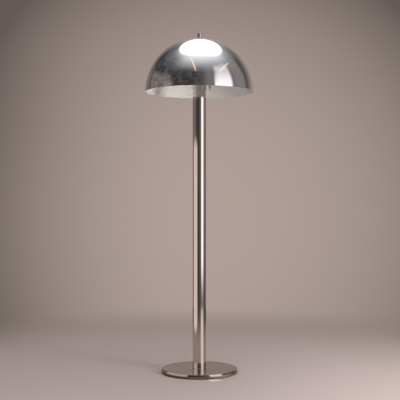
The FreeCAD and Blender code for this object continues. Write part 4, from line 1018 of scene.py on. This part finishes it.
def make_floor():
    """A round pale floor, lighter towards the front right with painted light, that turns to the
    backdrop's taupe outwards and fades into it. A small bright patch in front is a painted
    caustic, where the plate's polished edge would throw light."""
    made, nodes = material("studio_paper")
    spot = nodes.spot()
    x, y, _ = nodes.split(spot)
    out = nodes.from_axis(x, y)
    grain = nodes.noise(spot, 300.0, 2.0)
    # Painted light: the floor is lighter towards the front right.
    painted_light_front_right = (x * 0.55 - y * 0.83).ramp(-0.75, 0.75)
    # Painted caustic: a small bright patch in front of the plate.
    painted_caustic = nodes.azimuth(x, y).window(9, 17, 23, 31) * (1 - out.ramp(0.180, 0.215))
    pale = nodes.blend(out.ramp(0.5, 1.9), FLOOR_PALE, FLOOR_FAR)
    pale = nodes.blend(painted_light_front_right, nodes.blend(0.14, pale, BLACK), nodes.blend(0.09, pale, WHITE))
    pale = nodes.blend(painted_caustic * 0.8, pale, PAINTED_CAUSTIC_LIGHT)
    paper = nodes.principled(Base_Color=pale, Roughness=0.75 + grain * 0.1)
    nodes.output(nodes.mixed(out.ramp(0.9, FLOOR_REACH - 0.1), paper, nodes.clear()))
    stage_only(disc("studio_floor", FLOOR_REACH, 30, 0), made, glossy=False)


def make_floor_glow():
    """A painted reflection of the floor as polished surfaces see it: darker towards two metres
    out, a painted shadow close round the plate, darkest at its left, and painted light towards the
    tall softbox."""
    made, nodes = material("floor_glow_light")
    x, y, _ = nodes.split(nodes.spot())
    out = nodes.from_axis(x, y)
    left = (0.0 - x).ramp(0.0, 0.12)
    # Painted shadow of the lamp on the floor's reflection, darkest at the plate's left.
    shaded = (1 - out.ramp(0.15, 0.34)) * (0.42 + left * 0.30)
    lit = nodes.azimuth(x, y).window(14, 36, 56, 80) * out.ramp(0.1, 0.3)
    shine = nodes.blend(out.ramp(0.8, 1.9), GLOW_NEAR, GLOW_FAR)
    shine = nodes.blend(shaded, shine, GLOW_SHADED)
    shine = nodes.blend(lit, shine, GLOW_LIT)
    nodes.output(nodes.glow(shine))
    stage_only(disc("floor_glow", GLOW_REACH, 24, -0.002), made, **REFLECTED_ONLY)


def eased(share):
    """0 below 0, 1 above 1 and smooth between."""
    share = np.clip(share, 0, 1)
    return share * share * (3 - 2 * share)


def panel(side_edge, bottom_edge, top_edge, taper=0.0):
    """Light of a flat panel over its width and height, each from -1 to 1: it fades to nothing over
    the given share of each half, evenly at the top, and its top is narrower by the taper."""

    def light(wide, tall):
        wide = wide / (1 - taper * (tall + 1) / 2)
        top = np.clip((1 - tall) / top_edge, 0, 1)
        return eased((1 - np.abs(wide)) / side_edge) * eased((1 + tall) / bottom_edge) * top

    return light


def oval(edge, taper):
    """The same for an oval that narrows towards its far end."""

    def light(wide, tall):
        return eased((1 - np.hypot(wide / (1 - taper * tall), tall)) / edge)

    return light


def make_card(name, centre, half_across, half_up, light, glow):
    """A glowing card that only shows in polished surfaces, from its centre and the two vectors from
    there to the middle of its sides."""
    share = np.linspace(-1, 1, 49)
    wide, tall = np.meshgrid(share, share)
    points = centre + wide[:, :, None] * half_across + tall[:, :, None] * half_up
    card = skin(name, points, ring_outline=False, ring_around=False)
    amount = card.data.attributes.new("light", "FLOAT", "POINT")
    amount.data.foreach_set("value", light(wide, tall).ravel().astype(np.float32))
    made, nodes = material(f"{name}_light")
    shine = nodes.add("ShaderNodeAttribute", {"attribute_name": "light"}, output="Fac")
    nodes.output(nodes.mixed(shine, nodes.clear(), nodes.glow(glow)))
    stage_only(card, made, **REFLECTED_ONLY)


def make_upright_card(name, azimuth, distance, bottom, top, half_width, light, glow):
    """A standing card that faces the lamp."""
    centre = towards(azimuth) * distance + np.array([0, 0, (bottom + top) / 2])
    half_up = np.array([0, 0, (top - bottom) / 2])
    make_card(name, centre, towards(azimuth + 90) * half_width, half_up, light, glow)


def make_streak(name, start, end, half_width, glow):
    """A thin glowing strip above the camera, between two directions seen from the shade."""
    distance, stretch = 2.0, 1.1
    first, last = (DOME_MIDDLE + distance * towards(*spot) for spot in (start, end))
    centre, half_up = (first + last) / 2, (last - first) / 2 * stretch
    across = np.cross(half_up, centre - DOME_MIDDLE)
    across = across / np.linalg.norm(across) * half_width
    make_card(name, centre, across, half_up, panel(0.9, 0.35, 0.35), glow)


def make_cards():
    """Overhead softbox that narrows away from the camera, tall softbox at the right front, low beige
    reflector at the left, and two warm strips that draw thin lines on the shade."""
    make_card(
        "overhead_softbox",
        centre=np.array([0.04, 0.30, 2.42]),
        half_across=np.array([0.66, 0, 0]),
        half_up=np.array([0, 0.88, 0]),
        light=oval(edge=0.24, taper=0.40),
        glow=(2.0, 2.0, 2.0),
    )
    make_upright_card(
        "right_softbox",
        azimuth=50,
        distance=2.0,
        bottom=0.06,
        top=2.50,
        half_width=0.80,
        light=panel(side_edge=0.22, bottom_edge=0.26, top_edge=0.95, taper=0.05),
        glow=(1.42, 1.36, 1.38),
    )
    make_upright_card(
        "left_reflector",
        azimuth=-72.5,
        distance=1.12,
        bottom=-0.02,
        top=1.08,
        half_width=0.90,
        light=panel(side_edge=0.10, bottom_edge=0.10, top_edge=0.10),
        glow=(0.81, 0.685, 0.64),
    )
    make_streak("left_strip", (-36, 66), (-8, 35), half_width=0.045, glow=(1.70, 1.08, 0.70))
    make_streak("right_strip", (44, 32), (83, 45), half_width=0.040, glow=(1.65, 1.20, 0.85))


def backdrop(nodes, x, z):
    """The wall that the camera sees: taupe, with painted shade that darkens it with the distance
    from its middle and to the lower left, and even taupe to the sides and behind."""
    out = x.squared() + (z + 0.02).squared()
    # Painted shade: the wall darkens away from its middle and towards the lower left.
    painted_shade_lower_left = (0.0 - x).ramp(0.0, 0.32) * (1 - z.ramp(0.05, 0.25) * 0.7)
    painted_falloff = out * 4.2 + out.squared() * 30.0 + painted_shade_lower_left * 0.31
    seen = nodes.blend(painted_falloff.math("MINIMUM", 0.70), WALL, BLACK)
    return nodes.blend(out.ramp(0.105, 0.22), seen, WALL_ASIDE)


def mirrored_room(nodes, x, y, z):
    """The room that polished surfaces see: dark, with the backdrop behind the lamp, soft patches of
    the walls, and dark and pale clutter at the front left."""
    azimuth = nodes.azimuth(x, y)
    elevation = z.math("ARCSINE") * math.degrees(1)
    left = (0.0 - x).ramp(0.0, 0.34)
    behind = y.ramp(0.45, 0.97) * (1 - z.ramp(0.45, 0.80)) * (1 - left * 0.5)
    room = nodes.blend(behind, ROOM_DARK, BACK_WALL)
    for (az_from, az_to, el_from, el_to), soft, colour in ROOM_PATCHES:
        across = azimuth.window(az_from - soft, az_from + soft, az_to - soft, az_to + soft)
        upward = elevation.window(el_from - soft, el_from + soft, el_to - soft, el_to + soft)
        room = nodes.blend(across * upward, room, colour)
    clutter = nodes.noise(nodes.vector(x * 5.5, y * 5.5, z * 12), 1.0, 2.0)
    left_front = azimuth.window(-150, -120, -15, 10)
    room = nodes.blend(clutter.ramp(0.48, 0.62) * left_front * 0.27, room, BLACK)
    return nodes.blend((1 - clutter).ramp(0.52, 0.66) * left_front * 0.09, room, CLUTTER_PALE)


def ceiling_light(nodes, x, y, z):
    """How much of the pale ceiling a direction sees: more with its height, less far left, far right
    and behind, a little more at the right front, and nearly none straight above."""
    azimuth = nodes.azimuth(x, y)
    far_back = azimuth.math("ABSOLUTE").ramp(140, 180)
    height = (z + far_back * 0.25).ramp(0.52, 0.955, "LINEAR")
    upper = z.ramp(0.80, 0.93)
    left_dim = (0.0 - azimuth).ramp(40, 90) * (0.72 - upper * 0.48)
    right_dim = azimuth.ramp(75, 110) * (0.35 - upper * 0.35)
    sides = (1 - left_dim) * (1 - right_dim) * (1 + azimuth.ramp(30, 70) * 0.14)
    sides = sides * (1 - far_back) + far_back * 0.5
    return height.squared() * sides * (1 - z.ramp(0.955, 0.985) * 0.9)


def make_world():
    """The room beyond the stage. The camera sees the backdrop, polished surfaces see the room with
    its ceiling, and all else gets a soft even fill."""
    world = bpy.data.worlds.new("studio_room")
    bpy.context.scene.world = world
    nodes = Nodes(world)
    ray = nodes.outputs_of("ShaderNodeLightPath")
    x, y, z = nodes.split(nodes.add("ShaderNodeTexCoord", output="Generated"))
    room = nodes.blend(ceiling_light(nodes, x, y, z), mirrored_room(nodes, x, y, z), CEILING)
    light = nodes.blend(ray["Is Glossy Ray"], EVEN_FILL, room)
    light = nodes.blend(ray["Is Camera Ray"], light, backdrop(nodes, x, z))
    shine = nodes.add("ShaderNodeBackground", None, {"Color": light, "Strength": 1.0})
    nodes.output(shine, "ShaderNodeOutputWorld")


def make_lamp(name, place, target, size, power, tint):
    """A soft rectangular lamp that lights but isn't itself seen in polished surfaces."""
    data = bpy.data.lights.new(name, "AREA")
    data.shape = "RECTANGLE"
    data.size, data.size_y = size
    data.energy = power
    data.color = tint
    lamp = bpy.data.objects.new(name, data)
    bpy.context.scene.collection.objects.link(lamp)
    lamp.location = place
    aim = Vector(target) - Vector(place)
    lamp.rotation_euler = aim.to_track_quat("-Z", "Y").to_euler()
    lamp.visible_camera = False
    lamp.visible_glossy = False


def make_lamps():
    """Soft overhead light, a strong one low at the right and a weak fill from the front."""
    neutral, warm = (1.0, 0.99, 0.98), (1.0, 0.97, 0.94)
    make_lamp("overhead_light", (0.0, 0.2, 2.6), (0, 0, 0), (1.2, 2.0), power=26, tint=neutral)
    make_lamp("right_light", (1.7, -1.25, 0.85), (-0.05, 0.1, 1.45), (0.6, 1.5), power=38, tint=warm)
    make_lamp("front_fill", (-0.6, -2.6, 0.6), (0, 0, 1.1), (1.0, 1.0), power=6, tint=neutral)


def make_camera():
    """Level, in front of the lamp; the focal length is given in pixels of the photograph."""
    data = bpy.data.cameras.new("camera")
    data.sensor_width = 36
    data.lens = data.sensor_width * CAMERA_FOCAL_PIXELS / PICTURE_PIXELS
    camera = bpy.data.objects.new("camera", data)
    bpy.context.scene.collection.objects.link(camera)
    camera.location = CAMERA_PLACE
    camera.rotation_euler = (math.pi / 2, 0, 0)
    bpy.context.scene.camera = camera


make_floor()
make_cards()
make_floor_glow()
make_world()
make_lamps()
make_camera()
bpy.context.scene.view_settings.view_transform = "Standard"
